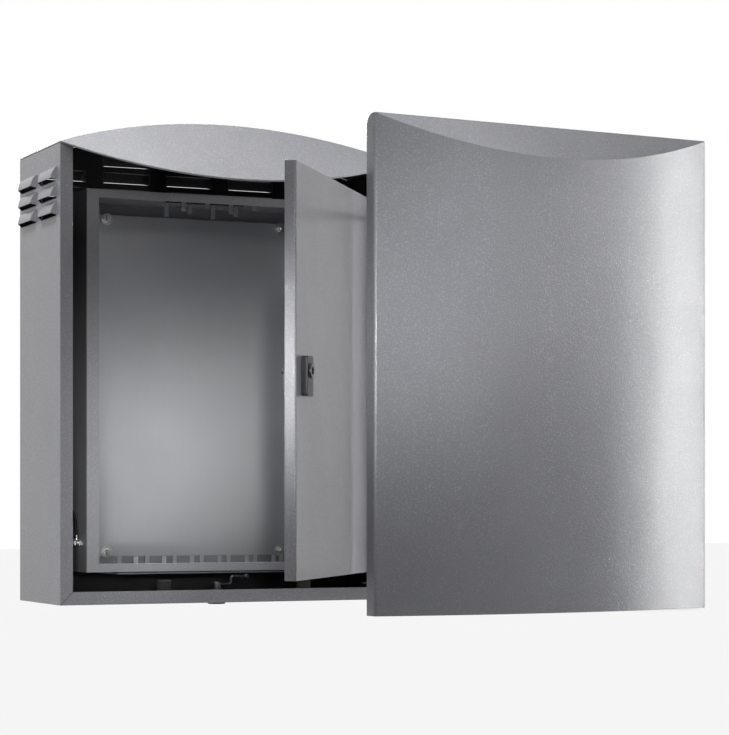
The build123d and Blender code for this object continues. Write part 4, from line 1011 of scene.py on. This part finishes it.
class ENCLOSURE_OT_stage(bpy.types.Operator):
    """Sets the camera, the floor, the world and the lamps"""

    bl_idname = "enclosure.stage"
    bl_label = "Stage"

    def execute(self, context):
        s = context.scene.enclosure_stage
        self.camera(s)
        self.world(s)
        self.floor(s)
        self.lamps()
        context.scene.view_settings.view_transform = "Standard"
        return {"FINISHED"}

    def camera(self, s):
        """Level camera with the picture's upward shift."""
        data = bpy.data.cameras.new("Camera")
        data.sensor_width = SENSOR_WIDE
        data.lens = s.lens
        data.shift_x = PICTURE_SLIDE
        data.shift_y = s.rise
        camera = bpy.data.objects.new("Camera", data)
        bpy.context.scene.collection.objects.link(camera)
        camera.location = s.camera_place
        camera.rotation_euler = (pi / 2, 0, -s.camera_turn)
        bpy.context.scene.camera = camera

    def world(self, s):
        """Even light that shows as white behind the object."""
        world = bpy.data.worlds.new("Studio")
        bpy.context.scene.world = world
        world.use_nodes = True
        tree = world.node_tree
        even = tree.nodes["Background"]
        even.inputs["Color"].default_value = EVEN_LIGHT
        even.inputs["Strength"].default_value = s.world_light
        white = node(tree, "ShaderNodeBackground")
        white.inputs["Color"].default_value = (1, 1, 1, 1)
        output = tree.nodes["World Output"].inputs["Surface"]
        seen_as_background(tree, even.outputs[0], white.outputs[0], output)

    def floor(self, s):
        """Wide pale floor below the object; part of its white is its own, so a soft shadow stays."""
        low = CAD_BOX[0][2] - s.floor_drop
        side = FLOOR_SIDE
        corners = [(-side, -side, low), (side, -side, low), (side, side, low), (-side, side, low)]
        mesh = bpy.data.meshes.new("floor")
        mesh.from_pydata(corners, [], [(0, 1, 2, 3)])
        floor = bpy.data.objects.new("floor", mesh)
        bpy.context.scene.collection.objects.link(floor)
        material = bpy.data.materials.new("Pale floor")
        material.use_nodes = True
        tree = material.node_tree
        shader = tree.nodes["Principled BSDF"]
        shader.inputs["Base Color"].default_value = (0.82, 0.82, 0.82, 1)
        shader.inputs["Roughness"].default_value = 0.9
        glow = node(tree, "ShaderNodeEmission", Strength=1.0)
        blend = tree.nodes.new("ShaderNodeMixShader")
        blend.inputs[0].default_value = FLOOR_OWN_WHITE
        tree.links.new(shader.outputs[0], blend.inputs[1])
        tree.links.new(glow.outputs[0], blend.inputs[2])
        output = tree.nodes["Material Output"].inputs["Surface"]
        seen_as_background(tree, shader.outputs[0], blend.outputs[0], output)
        mesh.materials.append(material)

    def lamps(self):
        """Soft boxes above, left, right and behind, and small ones with a narrow beam in front."""
        for row in SOFT_BOXES:
            light(*row)


SETTINGS = {
    "enclosure_finish": FinishSettings,
    "enclosure_edges": EdgeSettings,
    "enclosure_stage": StageSettings,
}
OPERATORS = (
    ENCLOSURE_OT_finishes,
    ENCLOSURE_OT_stage,
    ENCLOSURE_OT_earth_lead,
    ENCLOSURE_OT_sheets,
    ENCLOSURE_OT_rails,
    ENCLOSURE_OT_fittings,
    ENCLOSURE_OT_fasteners,
    ENCLOSURE_OT_door_seal,
)


class ENCLOSURE_PT_panel(bpy.types.Panel):
    """Sizes, colours and build steps of the enclosure"""

    bl_label = "Outdoor enclosure"
    bl_idname = "ENCLOSURE_PT_panel"
    bl_space_type = "VIEW_3D"
    bl_region_type = "UI"
    bl_category = "Enclosure"

    def draw(self, context):
        for setting in SETTINGS:
            group = getattr(context.scene, setting)
            box = self.layout.box()
            for key in group.__annotations__:
                box.prop(group, key)
        for operator in OPERATORS:
            self.layout.operator(operator.bl_idname)


def register():
    """Adds the settings, the operators and the panel."""
    for setting, group in SETTINGS.items():
        bpy.utils.register_class(group)
        setattr(bpy.types.Scene, setting, bpy.props.PointerProperty(type=group))
    for operator in OPERATORS:
        bpy.utils.register_class(operator)
    bpy.utils.register_class(ENCLOSURE_PT_panel)


def unregister():
    """Takes the panel, the operators and the settings out again."""
    bpy.utils.unregister_class(ENCLOSURE_PT_panel)
    for operator in reversed(OPERATORS):
        bpy.utils.unregister_class(operator)
    for setting, group in SETTINGS.items():
        delattr(bpy.types.Scene, setting)
        bpy.utils.unregister_class(group)


def main():
    """Builds the enclosure step by step."""
    register()
    bpy.ops.enclosure.finishes()
    bpy.ops.enclosure.stage()
    bpy.ops.enclosure.earth_lead()
    bpy.ops.enclosure.sheets()
    bpy.ops.enclosure.rails()
    bpy.ops.enclosure.fittings()
    bpy.ops.enclosure.fasteners()
    bpy.ops.enclosure.door_seal()


if __name__ == "__main__":
    main()
